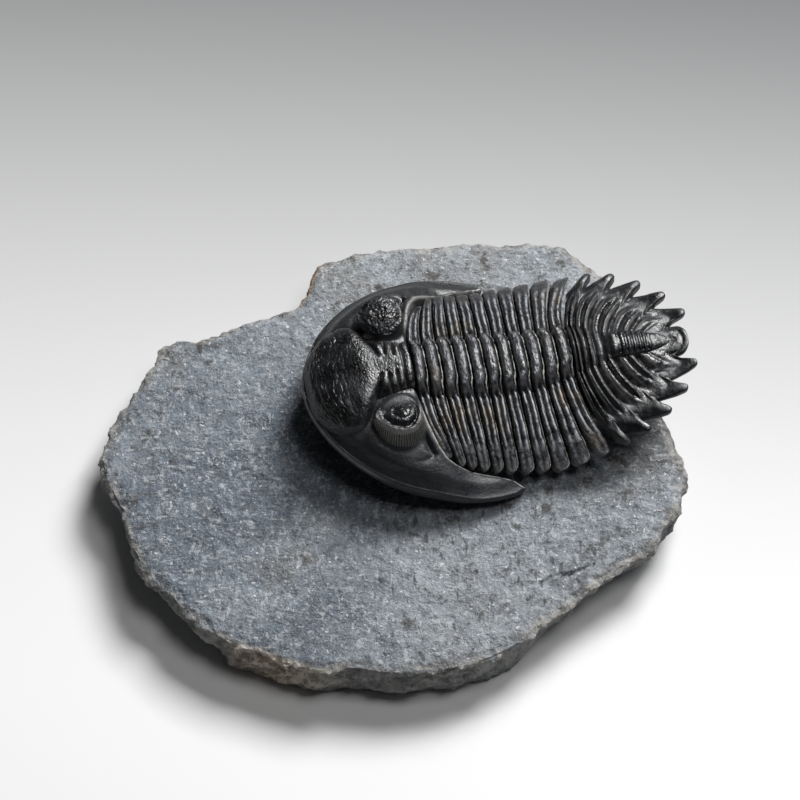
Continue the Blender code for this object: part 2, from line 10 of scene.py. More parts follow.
import bpy
import numpy as np
from mathutils import Euler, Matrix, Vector


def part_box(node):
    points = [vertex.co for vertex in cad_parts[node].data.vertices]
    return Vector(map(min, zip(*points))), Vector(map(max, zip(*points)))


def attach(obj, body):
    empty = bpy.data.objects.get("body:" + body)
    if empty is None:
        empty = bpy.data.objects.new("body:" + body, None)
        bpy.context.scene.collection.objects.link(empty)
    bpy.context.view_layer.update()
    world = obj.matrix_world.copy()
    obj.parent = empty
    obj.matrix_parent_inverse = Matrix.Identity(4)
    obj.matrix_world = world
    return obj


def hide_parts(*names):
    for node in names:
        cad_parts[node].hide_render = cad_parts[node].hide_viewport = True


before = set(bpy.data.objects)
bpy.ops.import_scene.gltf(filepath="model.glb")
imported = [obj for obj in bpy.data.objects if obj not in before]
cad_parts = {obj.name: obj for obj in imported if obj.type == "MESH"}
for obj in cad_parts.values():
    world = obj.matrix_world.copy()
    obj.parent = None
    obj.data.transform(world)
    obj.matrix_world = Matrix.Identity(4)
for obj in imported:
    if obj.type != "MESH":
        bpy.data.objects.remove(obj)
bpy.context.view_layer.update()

MM = 0.001

# Where the parts stand
SLAB_THICK = 10.0
GAP = 0.32           # between the pedestal's line and the segments over it
HAIR_GAP = 0.1       # between one segment and the next
BODY_YAW = math.radians(10.0)
BODY_IN_PLAN = (-16.1, -6.0)     # the head's front edge in the slab's own plan

# Head shield: plan points are (s, t), the others (s, height), (s, half width) or (s, rise)
HEAD_LENGTH = 18.2
HEAD_FRONT_HEIGHT = 8.9
HEAD_SLOPE = 0.2265
HEAD_EDGE_THICK = 0.9
HEAD_ROLL = 1.35
HEAD_OUTLINE = [(0.0, 0.0), (0.1, 1.8), (0.6, 4.2), (1.7, 7.0), (3.3, 9.9), (5.2, 12.4), (8.0, 15.2),
                (11.3, 17.6), (15.0, 19.4), (19.0, 20.6), (23.0, 21.5), (27.0, 21.6), (30.5, 21.2),
                (33.0, 20.4), (34.0, 19.6)]
HEAD_CORNER = 5
HEAD_REAR = [(18.2, 0.0), (18.2, 5.2), (18.7, 8.0), (19.4, 10.5), (20.2, 13.0), (21.0, 14.6),
             (22.3, 15.9), (24.2, 16.6), (27.0, 17.3), (30.0, 18.0), (32.4, 18.7), (34.0, 19.6)]
BLADE_FROM = (19.5, 26.0)
MARGIN_WIDTH = 2.8
BORDER_FURROW = (1.6, 0.7, 0.25)      # in from the edge, width, depth
REAR_FURROW = (1.7, 0.55, 1.1)        # in from the rear edge, width, depth
CHEEK_RISE = [(0.0, 0.0), (5.0, 3.2), (10.0, 5.6), (15.0, 7.0), (20.0, 7.3)]
CHEEK_ENDS = (19.5, 27.0)
LOBE_HALF = [(0.5, 2.4), (1.0, 4.2), (2.0, 6.4), (3.5, 8.2), (5.5, 9.4), (7.5, 9.8), (9.0, 9.4),
             (10.2, 8.0), (11.2, 6.2), (12.2, 4.2), (13.0, 2.0)]
LOBE_TOP = [(0.5, 9.6), (1.2, 11.4), (2.5, 12.8), (4.5, 13.9), (7.0, 14.8), (10.0, 15.5), (13.0, 15.5)]
LOBE_ENDS = (13.6, 12.9)
RIDGE_TOP = 15.2
RIDGE_HALF = 5.5
RIDGE_SLOTS = (14.2, 15.55)
NECK_FURROW = 16.8
EYE_CENTRE = (15.3, 9.4)
EYE_STRETCH = (1.08, 0.78)
EYE_MOUND = (12.6, 3.2)               # height under the eye, and its fall away from it
EYE_INNER_RISE = 2.0
EYE_FOOT = 9.6
EYE_WALL_SHARE = 0.6
EYE_LID_HALF = 3.7
# The wall from its foot up: share of the way from foot to lid's middle, half width, height
EYE_WALL = [(0.0, 4.5, EYE_FOOT), (0.12, 4.42, 10.6), (0.3, 4.22, 12.0), (0.45, 4.0, 13.4),
            (0.55, 3.78, 14.7), (EYE_WALL_SHARE, EYE_LID_HALF, 15.2)]
EYE_FILES = 66
EYE_LENSES = 9

# Thorax: the TIP lists hold one value for each segment from the head back, and points are
# (segment, value), or (s, height) beneath
RING_FIRST = 19.5
RING_PITCH = 2.44
TIP_BACK = [2.7, 1.95, 1.2, 0.8, 0.5, 0.4, 0.5, 0.8, 1.3, 2.2, 3.9]
TIP_OUT = [14.8, 16.4, 16.9, 17.2, 17.4, 17.6, 18.0, 18.1, 18.3, 18.0, 17.4]
TIP_HEIGHT = [7.1, 6.7, 6.2, 5.3, 4.6, 4.1, 3.75, 3.6, 3.4, 4.0, 5.05]
AXIS_HALF = [(1, 4.9), (4, 5.7), (7, 5.5), (9, 5.3), (11, 4.75)]
FURROW_HEIGHT = [(1, 12.3), (4, 10.8), (7, 9.8), (9, 9.5), (11, 10.2)]
BEND_FROM = 5.5
RING_RISE = 2.6
RING_DEPTH = 1.5
TIP_THICK = 0.95
TIP_ROUND = 1.4
WIDEST_HALF = 1.9
BENEATH = [(3.5, 6.9), (10.0, 5.4), (18.2, 3.5), (24.0, 3.0), (30.0, 2.7), (36.0, 2.2), (41.0, 2.2),
           (47.0, 3.6)]

# Tail shield: plan points are (s, t), the others (s, half width), (s, height), (s, turns) or (s, rise)
TAIL_FRONT = 45.3
TAIL_AXIS_END = 62.2
TAIL_AXIS = [(45.3, 4.6), (47.0, 4.2), (49.0, 3.5), (51.3, 2.6), (55.0, 2.3), (59.0, 1.9), (61.5, 1.4)]
TAIL_NOTCHES = [(47.7, 14.2), (51.2, 14.5), (54.9, 13.0), (58.2, 10.3), (61.1, 7.1), (62.8, 2.9)]
TAIL_TIPS = [(52.1, 16.6), (56.0, 15.2), (59.95, 12.5), (63.5, 9.1), (65.9, 4.75)]
TAIL_MIDDLE_TIP = 65.35
# Sides of a spine: share of the way along each side, and how far it bulges there
SPINE_OUTER = [(0.3, 0.3), (0.65, 0.58), (0.94, 0.42)]
SPINE_INNER = [(0.07, 0.16), (0.35, 0.12), (0.7, -0.12)]
TAIL_FURROW_AT = 0.3
TAIL_RINGS = [(45.7, 0.0), (47.6, 1.0), (49.9, 2.0), (52.6, 3.0), (59.6, 10.0)]
TAIL_RINGS_FADE = (57.5, 60.0)
TAIL_ARCHES_END = (52.2, 50.6)
TAIL_RIBS = 5.5
TAIL_LEAD = 1.45
TAIL_EDGE = (5.05, 0.195, 47.8)       # height and slope of the rim, from this s
TAIL_THICK = 1.1
TAIL_FURROW_HEIGHT = [(45.3, 10.3), (48.5, 10.0), (51.5, 9.8), (55.0, 9.6), (59.0, 9.1), (62.2, 8.7)]
TAIL_AXIS_RISE = [(45.3, 2.3), (47.0, 1.8), (49.0, 1.1), (50.5, 0.6), (51.2, 0.5), (51.9, 1.3), (53.0, 1.45),
                  (56.5, 1.2), (59.5, 0.75), (61.2, 0.35), (62.2, 0.1)]

# Slab: plan points are (x, y) in its own plan
SLAB_CENTRE = (0.0, -13.0)
SLAB_OUTLINE = [(-28.1, -46.4), (-33.6, -42.8), (-37.3, -38.3), (-41.2, -35.4), (-43.9, -29.5),
                (-46.2, -22.6), (-49.2, -16.4), (-50.2, -12.6), (-48.2, -6.8), (-44.2, 1.3), (-40.7, 8.2),
                (-38.1, 10.4), (-34.7, 10.2), (-29.4, 12.6), (-23.7, 15.2), (-18.4, 16.8), (-16.0, 19.6),
                (-14.2, 25.6), (-6.1, 27.9), (7.0, 29.3), (17.0, 29.7), (26.1, 29.7), (30.4, 27.3),
                (34.6, 23.2), (38.6, 15.5), (41.6, 6.0), (43.4, -2.0), (45.2, -7.4), (46.3, -11.8),
                (47.6, -16.0), (45.7, -22.8), (41.4, -29.5), (35.9, -33.2), (29.7, -37.8), (23.5, -43.0),
                (16.0, -48.7), (7.4, -51.4), (-0.3, -52.3), (-7.7, -51.2), (-14.8, -51.6), (-20.6, -49.6)]
# Side of the slab from the rim down: depth, and spread of the outline
SLAB_LEVELS = [(0.25, 1.003), (0.6, 1.008), (1.1, 1.012), (1.7, 1.013), (2.3, 1.012), (2.9, 1.008),
               (3.5, 1.004), (4.1, 0.998), (4.7, 0.99), (5.2, 0.978), (5.9, 0.955), (6.8, 0.925),
               (7.7, 0.897), (8.5, 0.875), (9.2, 0.862), (9.75, 0.852), (SLAB_THICK, 0.845)]
SLAB_DIP = 0.5       # how far the rim lies below the slab's full height
BED_DEPTH = 0.25     # how far the pedestal stays below the plates
PEDESTAL_HALF = [(4.0, 2.5), (5.5, 5.8), (9.0, 8.4), (14.0, 10.4), (20.0, 11.0), (28.0, 10.6), (36.0, 9.6),
                 (42.0, 7.8), (45.4, 3.0)]

# How finely each piece is modelled
HEAD_GRID = (185, 205)      # columns and rows of the flat grid that is shaped
SEGMENT_GRID = (190, 62)
TAIL_STEPS = 30
TAIL_ROWS = 130
SLAB_GRID = (250, 250)
EYE_GRID = (400, 110)
SMOOTH_BELOW = math.radians(55)
MERGE_CLOSER_THAN = 0.000002

# A segment's outline seen from the side is drawn once round: top, rear face, floor and front face
TOP_TO = 0.72
REAR_TO = 0.8
FLOOR_TO = 0.92

# Stage
# Floor colour: white at the front, with painted shade darkening it towards the back and slightly to the right
FLOOR_WHITE_TO = -60.0
FLOOR_PAINTED_SHADE_FROM = 150.0
FLOOR_SLANT = 0.15
FLOOR_WHITE = (0.76, 0.76, 0.76, 1)
FLOOR_PAINTED_SHADE = (0.1, 0.102, 0.105, 1)
VIEW_HEIGHT = math.radians(60.0)
VIEW_LENS = 140.0
VIEW_SENSOR = 36.0
VIEW_HALF_WIDTH = 68.0
VIEW_DISTANCE = VIEW_HALF_WIDTH * VIEW_LENS / (VIEW_SENSOR / 2)
VIEW_LEVEL = 6.9
LIGHTS_FACE = (0, 0, 0.015)
LIGHTS = [("key_behind_right", (0.29, 0.43, 0.54), 0.3, 9.4),
          ("overhead_right", (0.24, -0.02, 0.74), 0.26, 1.5),
          ("low_behind", (0.1, 0.85, 0.32), 0.6, 0.5)]
ROOM_LIGHT = 0.025


# Shape helpers

def curve(points, x):
    """A smooth line through a few (x, y) points, level past both ends."""
    px, py = (np.array(column, float) for column in zip(*points))
    slope = np.gradient(py, px)
    x = np.clip(np.asarray(x, float), px[0], px[-1])
    i = np.clip(np.searchsorted(px, x, side="right") - 1, 0, len(px) - 2)
    step = px[i + 1] - px[i]
    k = (x - px[i]) / step
    ends = py[i] * (1 + 2 * k) * (1 - k) ** 2 + py[i + 1] * k * k * (3 - 2 * k)
    return ends + step * k * (1 - k) * (slope[i] * (1 - k) - slope[i + 1] * k)


def along(points, share):
    """The point at a share of the way along a smooth line through points."""
    p = np.array(points, float)
    way = np.r_[0.0, np.cumsum(np.linalg.norm(np.diff(p, axis=0), axis=1))]
    at = np.asarray(share, float) * way[-1]
    return np.stack([curve(list(zip(way, column)), at) for column in p.T], axis=-1)


def smooth(low, high, x):
    k = np.clip((np.asarray(x, float) - low) / (high - low), 0, 1)
    return k * k * (3 - 2 * k)


def bump(x, centre, width):
    return np.exp(-(((x - centre) / width) ** 2))


def roll(d, radius):
    """Quarter-round edge: 0 at the edge, 1 from a radius in."""
    return np.sqrt(1 - (1 - np.clip(d / radius, 0, 1)) ** 2)


def upper(a, b, blend):
    """The higher of two heights, with a rounded valley where they meet."""
    return 0.5 * (a + b + np.sqrt((a - b) ** 2 + blend**2))


def scatter(cell, salt):
    """A fixed number from 0 to 1 for each whole-number cell."""
    key = cell[..., 0] * 374761393 + cell[..., 1] * 668265263 + cell[..., 2] * 2147483629 + salt * 974711
    key = (key ^ (key >> 13)) * 1274126177 & 0xFFFFFFFF
    key = (key ^ (key >> 16)) & 0xFFFFFF
    return key / 0xFFFFFF


def lumps(points, size, seed=0):
    """Even noise from -1 to 1 at each point, in lumps of about this size."""
    cell = np.asarray(points) / size + 97.3
    base = np.floor(cell).astype(np.int64)
    f = cell - base
    f = f * f * (3 - 2 * f)
    total = 0.0
    for corner in np.ndindex(2, 2, 2):
        weight = np.prod(np.where(corner, f, 1 - f), axis=-1)
        total = total + weight * scatter(base + corner, seed)
    return 2 * total - 1


def grains(points, size, seed=0):
    """Round grains: 1 in the middle of each, 0 between them, about this size apart."""
    cell = np.asarray(points) / size + 53.7
    base = np.floor(cell).astype(np.int64)
    nearest = np.full(len(cell), 9.0)
    for corner in np.ndindex(3, 3, 3):
        other = base + np.array(corner) - 1
        centre = other + np.stack([scatter(other, seed + k) for k in (1, 2, 3)], axis=-1)
        nearest = np.minimum(nearest, np.linalg.norm(cell - centre, axis=-1))
    return np.clip(1 - (nearest / 0.62) ** 2, 0, 1)


def creased(points, size, seed, width):
    """Fine branching lines: 1 on them, 0 away from them, with loops of about this size."""
    return np.exp(-((lumps(points, size, seed) / width) ** 2))


def broken(points, size, seed=0):
    """Rough broken stone from -1 to 1: big lumps with ever smaller ones on them."""
    return (lumps(points, size, seed) + 0.5 * lumps(points, size / 2.1, seed + 1)
            + 0.25 * lumps(points, size / 4.3, seed + 2) + 0.12 * lumps(points, size / 9.1, seed + 3)) / 1.5


# Head shield, in the body's lines

def head_edge(s):
    return HEAD_FRONT_HEIGHT - HEAD_SLOPE * s


def head_half(s):
    return curve([(math.sqrt(a), b) for a, b in HEAD_OUTLINE], np.sqrt(np.clip(s, 0, None)))


def head_plan(u, v):
    """Half of the head as a patch: u from the middle out, v from the front back."""
    front = HEAD_OUTLINE[: HEAD_CORNER + 1]
    side = HEAD_OUTLINE[HEAD_CORNER:]
    corners = np.array([front[0], front[-1], HEAD_REAR[0], HEAD_REAR[-1]])
    u, v = u[:, None], v[:, None]
    across = (1 - v) * along(front, u[:, 0]) + v * along(HEAD_REAR, u[:, 0])
    back = (1 - u) * (v * np.array([HEAD_LENGTH, 0.0])) + u * along(side, v[:, 0])
    flat = (1 - u) * (1 - v) * corners[0] + u * (1 - v) * corners[1]
    flat = flat + (1 - u) * v * corners[2] + u * v * corners[3]
    return across + back - flat


def head_surface(s, t):
    """Height of the head's upper surface, how much pale sediment lies there, and how far out from the
    middle line the frontal lobe reaches."""
    t = np.abs(t)
    half = np.maximum(head_half(s), 0.01)
    slant = 1 / np.hypot(1, (head_half(s + 0.1) - head_half(np.maximum(s - 0.1, 0))) / 0.2)
    side = (half - t) * slant
    rear_points = [(b, a) for a, b in HEAD_REAR]
    rear_slant = 1 / np.hypot(1, (curve(rear_points, t + 0.05) - curve(rear_points, t - 0.05)) / 0.1)
    behind = (curve(rear_points, t) - s) * rear_slant
    blade = smooth(*BLADE_FROM, s)

    # Cheek with its rolled margin, furrows and the flat blade
    cheek = curve(CHEEK_RISE, s) * (1 - smooth(*CHEEK_ENDS, s))
    h = head_edge(s) + cheek * np.clip(1 - (t / half) ** 2, 0, 1) ** 0.8
    margin = 0.4 * roll(side, 0.3) + 0.6 * smooth(0.2, MARGIN_WIDTH, side)
    border = np.minimum(margin, 1 - blade + blade * roll(behind, 0.35))
    inward, width, depth = BORDER_FURROW
    h = h + HEAD_ROLL * border - depth * (1 - blade) * bump(side, inward, width)
    h = h + 0.16 * (1 - blade) * bump(side, 0.35, 0.18) + 0.12 * blade * bump(behind, 0.3, 0.18)
    h = h + blade * (0.12 * np.clip(side, 0, 4) - 0.1) * border
    inward, width, depth = REAR_FURROW
    h = h - depth * bump(behind, inward, width) * smooth(5.4, 7.5, t) * (1 - smooth(13.5, 17, t))

    # Frontal lobe, and the slotted ridge behind it with its neck furrow
    lobe_end = smooth(*LOBE_ENDS, s)
    lobe_half = curve(LOBE_HALF, s) * lobe_end
    swell = np.sqrt(np.clip(1 - (t / np.maximum(lobe_half, 0.01)) ** 2.4, 0, 1))
    swell = swell * smooth(0.2, 0.7, s) * lobe_end
    lobe = h + (curve(LOBE_TOP, s) - h) * swell
    ridge_half = RIDGE_HALF - 0.25 * np.clip(s - 12, 0, 5)
    ridge_start = 13.3 - 0.3 * t - 0.9 * smooth(2.2, 0.8, t)
    ridge = np.sqrt(np.clip(1 - (t / ridge_half) ** 3, 0, 1)) * roll(s - ridge_start, 0.9)
    first, second = (1.1 * bump(s, at, 0.2) for at in RIDGE_SLOTS)
    slots = first * smooth(1.5, 2.2, t) + second * smooth(1.2, 1.9, t)
    slots = slots + (0.35 + 0.8 * smooth(1, 3.5, t)) * bump(s, NECK_FURROW, 0.24)
    knobs = 0.35 * bump(t, 4.1, 0.7) * bump(s, 17.5, 0.6) + 0.3 * bump(t, 3.4, 1.0) * bump(s, 13.2, 0.6)
    h = np.maximum(lobe, h + (RIDGE_TOP - h + knobs) * ridge - slots * ridge)

    # Mound that carries the eye, with a fine groove at the foot of the lens wall
    ahead, after = EYE_STRETCH
    ds, dt = s - EYE_CENTRE[0], t - EYE_CENTRE[1]
    r = np.hypot(np.where(ds < 0, ds / ahead, ds / after), dt)
    mound = EYE_MOUND[0] + EYE_INNER_RISE * smooth(1.2, -2.4, dt) - EYE_MOUND[1] * smooth(3.0, 6.0, r)
    around = smooth(7.6, 5.4, r) * smooth(4.6, 5.6, t)
    h = h + (upper(h, mound, 0.6) - h) * around - 0.12 * bump(r, 4.9, 0.5) * smooth(-1, 2, dt)
    h = h - 0.5 * (1 - roll(behind, 0.6)) * (1 - blade)

    dust = 0.3 * slots * ridge + (0.7 + 0.3 * smooth(16.5, 19, t)) * bump(behind, 0.15, 0.2) * smooth(6, 9, t)
    dust = dust + 0.5 * bump(side, 0.1, 0.15) * smooth(13.0, 7.0, s)
    return h, np.clip(dust, 0, 1), lobe_half


# Thorax, in the body's lines

def ring_at(number, t):
    """Where the middle of a segment lies at t: its sides bend back towards their tips."""
    out = np.clip((np.abs(t) - BEND_FROM) / (TIP_OUT[number - 1] - BEND_FROM), 0, 1.2)
    return RING_FIRST + RING_PITCH * (number - 1) + TIP_BACK[number - 1] * out**1.7


def segment_half(number, t, across):
    """Length of a segment along the body at t, from its middle to the gap ahead of it or behind it."""
    lengths = []
    for other in (number - 1, number + 1):
        if 1 <= other <= len(TIP_OUT):
            room = np.abs(ring_at(other, t) - ring_at(number, t)) / 2
        else:
            room = RING_PITCH / 2
        lengths.append(np.minimum(room, WIDEST_HALF) - HAIR_GAP / 2)
    past = np.clip((np.abs(t) - TIP_OUT[number - 1] + TIP_ROUND) / TIP_ROUND, 0, 1)
    return np.where(across < 0, *lengths) * (1 - past**3) ** 0.45


def segment_surface(number, t, across):
    """Upper surface of a segment: across runs from -1 at the front edge to 1 at the rear. Also gives
    the sediment along its edges, the grey film on its ridges (partly real grey-brown dust, partly painted
    sheen on the ridges and ring crests) and how far out the point lies."""
    wave = 0.05 * np.sin(0.9 * t + 2.3 * number) + 0.02 * np.sin(3.1 * t + 4.1 * number)
    t = np.abs(t)
    axis = curve(AXIS_HALF, number)
    furrow = curve(FURROW_HEIGHT, number)
    tip = TIP_HEIGHT[number - 1]
    out = np.clip((t - axis) / (TIP_OUT[number - 1] - axis), 0, 1)
    side = tip + (furrow - tip) * (1 - 0.14 * out - 0.86 * out**2.1)
    node = bump(t, axis - 1.0, 0.85)
    crown = np.sqrt(np.clip(1 - (t / (axis - 0.1)) ** 2.6, 0, 1))
    ring = furrow + 0.35 * node + RING_RISE * crown
    on_ring = smooth(axis + 0.1, axis - 0.45, t)
    gap = smooth(-0.72, -0.92, across)

    # Axial ring: convex, with a lip along its rear edge and ends that bulge forward
    ring_lip = bump(across, 0.85 - 0.3 * node, 0.1)
    from_crest = np.abs((across + 0.08 + 0.36 * node - wave) / 0.78)
    ring_shape = RING_DEPTH * (1 - np.sqrt(np.clip(1 - from_crest**3, 0, 1))) - 1.0 * ring_lip + 0.9 * gap
    ring_shape = ring_shape + 0.8 * smooth(0.93 - 0.28 * node, 1.0 - 0.2 * node, across)

    # Pleura: two bands with a shallow furrow between them, then a flat bent paddle
    split = -0.02 + 0.2 * out + wave
    front_band = np.exp(-np.abs((across - split + 0.42) / 0.21) ** 3)
    rear_band = np.exp(-np.abs((across - split - 0.42) / 0.25) ** 3)
    side_lip = bump(across, 0.93, 0.05)
    bands = 0.9 - 0.7 * front_band - (0.9 + 0.25 * bump(t, axis + 1.1, 0.6)) * rear_band - 0.45 * side_lip
    bands = bands - 0.35 * bump(across, split, 0.2) + 0.25 * gap
    paddle = smooth(0.6, 0.8, out)
    paddle_shape = 0.1 - 0.1 * across + 0.35 * across**6 - 0.25 * side_lip
    side_shape = bands * (1 - paddle) + paddle_shape * paddle + 0.7 * gap

    pinch = 0.5 * bump(t, axis + 0.1, 0.35)
    h = (ring - ring_shape) * on_ring + (side - side_shape) * (1 - on_ring) - pinch
    dust = 1.5 * ring_lip * on_ring + (1.2 - 0.3 * paddle) * side_lip * (1 - on_ring)
    dust = dust + 0.15 * paddle * smooth(0.9, 1.0, out) * (1 - on_ring)
    # Grey film: partly real grey-brown dust on the pleural ridges, partly painted sheen on the ridges and
    # ring crests
    film_and_sheen = (1 - on_ring) * (1 - 0.6 * paddle) * np.clip(rear_band + 0.8 * front_band + 0.2 * paddle, 0, 1)
    film_and_sheen = film_and_sheen + 0.18 * on_ring * np.clip(1.2 - from_crest, 0, 1)
    return h, np.clip(dust, 0, 1), film_and_sheen, out


def segment_under(number, t):
    """Underside of a segment: over the pedestal near the middle, thin at the tips."""
    s = ring_at(number, t)
    out = smooth(8.5, 12.5, np.abs(t))
    return (curve(BENEATH, s) + GAP) * (1 - out) + (TIP_HEIGHT[number - 1] - TIP_THICK) * out


# Tail shield, in the body's lines

def tail_edge(s):
    height, slope, start = TAIL_EDGE
    return height - TAIL_THICK / 2 + slope * (s - start)


def tail_outline(steps):
    """The margin from the front corner round to the middle line, each spine a curved blade."""
    points = [np.array(TAIL_NOTCHES[0])]
    for tip, start, end in zip(TAIL_TIPS, TAIL_NOTCHES[:-1], TAIL_NOTCHES[1:]):
        tip, start, end = np.array(tip), np.array(start), np.array(end)
        blade = [start]
        for one, other, stops in ((start, tip, SPINE_OUTER), (tip, end, SPINE_INNER)):
            way = other - one
            outward = np.array([-way[1], way[0]]) / np.linalg.norm(way)
            blade += [one + share * way + bulge * outward for share, bulge in stops]
        points += list(along(blade + [end], np.arange(1, steps + 1) / steps))
    start = np.array(TAIL_NOTCHES[-1])
    middle = [start, (TAIL_MIDDLE_TIP - 1.1, 2.55), (TAIL_MIDDLE_TIP - 0.25, 1.4), (TAIL_MIDDLE_TIP, 0.0)]
    points += list(along(middle, np.arange(1, steps // 2 + 1) / (steps // 2)))
    return np.array(points)


def tail_plan(share, rim, u):
    """Points of the tail: share runs round from the front edge to the middle line behind,
    u from the middle line (0) over the axial furrow (TAIL_FURROW_AT) to the rim (1)."""
    lead = share**TAIL_LEAD
    furrow_s = TAIL_FRONT + (TAIL_AXIS_END - TAIL_FRONT) * lead
    middle = np.stack([furrow_s, 0 * furrow_s], axis=-1)
    furrow = np.stack([furrow_s, curve(TAIL_AXIS, furrow_s) * np.sqrt(np.clip(1 - share**12, 0, 1))], axis=-1)
    reach = np.linalg.norm(rim - furrow, axis=-1)[:, None]
    late = (share**3)[:, None]
    knee = furrow + np.array([0.12, 0.88]) * 0.5 * reach * (1 - late) + (rim - furrow) * 0.5 * late
    k = np.clip((u - TAIL_FURROW_AT) / (1 - TAIL_FURROW_AT), 0, 1)[:, None]
    outer = furrow * (1 - k) ** 2 + 2 * knee * k * (1 - k) + rim * k * k
    inner = middle + (furrow - middle) * np.clip(u / TAIL_FURROW_AT, 0, 1)[:, None]
    return np.where((u <= TAIL_FURROW_AT)[:, None], inner, outer)


def tail_surface(s, share, u):
    """Height of the tail's upper surface, its sediment, and where it is smooth. Ahead of the raised
    axis the ribs run on across the middle as arches."""
    edge = tail_edge(s) + TAIL_THICK
    furrow = curve(TAIL_FURROW_HEIGHT, s)
    line = TAIL_FRONT + (TAIL_AXIS_END - TAIL_FRONT) * share**TAIL_LEAD
    ahead = smooth(*TAIL_ARCHES_END, line)
    turn = share * TAIL_RIBS
    from_groove = np.abs((turn + 0.5) % 1.0 - 0.5)
    groove = np.exp(-((from_groove / 0.15) ** 2))
    split = np.exp(-(((turn % 1.0 - 0.54) / 0.085) ** 2))

    # Axis, ringed in front
    k = np.clip(u / TAIL_FURROW_AT, 0, 1)
    ring = np.cos(2 * np.pi * curve(TAIL_RINGS, s)) * (1 - smooth(*TAIL_RINGS_FADE, s))
    dome = (1 - ahead) * np.sqrt(np.clip(1 - k**2.6, 0, 1)) + ahead * (1 - k * k)
    rings = (0.09 + 0.06 * bump(k, 0.6, 0.3)) * ring * (1 - k**6)
    rings = rings - 0.25 * bump(k, 0.74, 0.12) * np.clip(-ring, 0, 1)
    bands = 0.42 - 1.15 * groove - 0.8 * split
    axis = furrow + curve(TAIL_AXIS_RISE, s) * dome + (1 - ahead) * rings + ahead * bands

    # Ribs that fade into the smooth field, a boss at the foot of each spine, and the spines
    m = np.clip((u - TAIL_FURROW_AT) / (1 - TAIL_FURROW_AT), 0, 1)
    side = edge + (furrow - edge) * (1 - 0.2 * m - 0.8 * m**1.7)
    further = 0.16 * (1 - smooth(0.4, 0.75, share))
    fade = (1 - smooth(0.36 + further, 0.6 + further, m)) * (1 - smooth(0.74, 0.88, share))
    fade = fade * (ahead + (1 - ahead) * smooth(-0.05, 0.1, m))
    boss = 0.5 * bump(m, 0.78, 0.07) * bump((turn + 0.62) % 1.0, 0.5, 0.17) * (1 - smooth(0.87, 0.93, share))
    blade = smooth(0.74, 0.9, m)
    spine = np.where(turn < 5, bump(turn % 1.0, 0.6, 0.2), bump(turn, TAIL_RIBS, 0.2))
    last = smooth(4.9, 5.3, turn)
    side = side + bands * fade + boss + (0.5 * spine - 0.3) * blade * (1 - last)
    side = side - 0.12 * (1 - fade) * bump(m, 0.7, 0.1)
    side = side + (0.4 * bump(turn, TAIL_RIBS, 0.35) - 0.1) * last * smooth(0, 0.4, m)
    side = side - 0.4 * (1 - roll(1 - m, 0.1 + 0.4 * last))
    side = side - 0.25 * smooth(0.3, 0.75, m) * (1 - last) * (1 - blade)
    thin = fade * 0.35 * np.exp(-(((from_groove - 0.2) / 0.04) ** 2)) + 0.3 * boss
    on_axis = u <= TAIL_FURROW_AT
    dust = np.clip(np.where(on_axis, ahead * thin, thin), 0, 1)
    return np.where(on_axis, axis, side), dust, np.where(on_axis, 0.0, 1 - fade)


# Modelling helpers

def start(name):
    """Names the primitive that was just added."""
    piece = bpy.context.object
    piece.name = name
    piece.data.name = name
    return piece


def patch(name, columns, rows):
    """A flat grid from 0 to 1 both ways, ready to be shaped."""
    bpy.ops.object.select_all(action="DESELECT")
    bpy.ops.mesh.primitive_grid_add(x_subdivisions=columns, y_subdivisions=rows, size=1,
                                    location=(0.5, 0.5, 0))
    piece = start(name)
    bpy.ops.object.transform_apply(location=True, rotation=False, scale=False)
    return piece


def places(piece):
    flat = np.empty(len(piece.data.vertices) * 3, np.float32)
    piece.data.vertices.foreach_get("co", flat)
    return flat.reshape(-1, 3).astype(float)


def set_places(piece, points):
    piece.data.vertices.foreach_set("co", np.asarray(points, np.float32).ravel())
    piece.data.update()


def swell_out(piece, points, move):
    """Moves each vertex out along its normal, in millimetres."""
    flat = np.empty(len(points) * 3, np.float32)
    piece.data.vertices.foreach_get("normal", flat)
    set_places(piece, (points + flat.reshape(-1, 3).astype(float) * move[:, None]) * MM)


def paint(piece, name, values):
    """Stores one number for each vertex, for the material to read."""
    layer = piece.data.attributes.get(name) or piece.data.attributes.new(name, "FLOAT", "POINT")
    layer.data.foreach_set("value", np.asarray(values, np.float32))


def painted_on(piece, name):
    values = np.empty(len(piece.data.vertices), np.float32)
    piece.data.attributes[name].data.foreach_get("value", values)
    return values


def pick(piece):
    bpy.ops.object.select_all(action="DESELECT")
    piece.select_set(True)
    bpy.context.view_layer.objects.active = piece


def pick_open_rim(piece):
    """Selects the edges round a piece's open hole, and says which vertices they join."""
    bpy.ops.object.mode_set(mode="EDIT")
    bpy.ops.mesh.select_mode(type="EDGE")
    bpy.ops.mesh.select_all(action="DESELECT")
    bpy.ops.mesh.select_non_manifold()
    bpy.ops.object.mode_set(mode="OBJECT")
    return picked(piece)


def picked(piece):
    chosen = np.zeros(len(piece.data.vertices), bool)
    piece.data.vertices.foreach_get("select", chosen)
    return chosen


def extrude_rim(piece):
    """Extrudes the selected rim in place, and says which vertices are new."""
    bpy.ops.object.mode_set(mode="EDIT")
    bpy.ops.mesh.extrude_region_move()
    bpy.ops.object.mode_set(mode="OBJECT")
    return picked(piece)


def fill_rim():
    bpy.ops.object.mode_set(mode="EDIT")
    bpy.ops.mesh.edge_face_add()
    bpy.ops.object.mode_set(mode="OBJECT")


def both_halves(piece):
    """Mirrors the near half across the middle line and joins the seam."""
    mirror = piece.modifiers.new("halves", "MIRROR")
    mirror.use_axis = (False, True, False)
    mirror.use_clip = False
    mirror.merge_threshold = 10 * MERGE_CLOSER_THAN
    bpy.ops.object.modifier_apply(modifier=mirror.name)


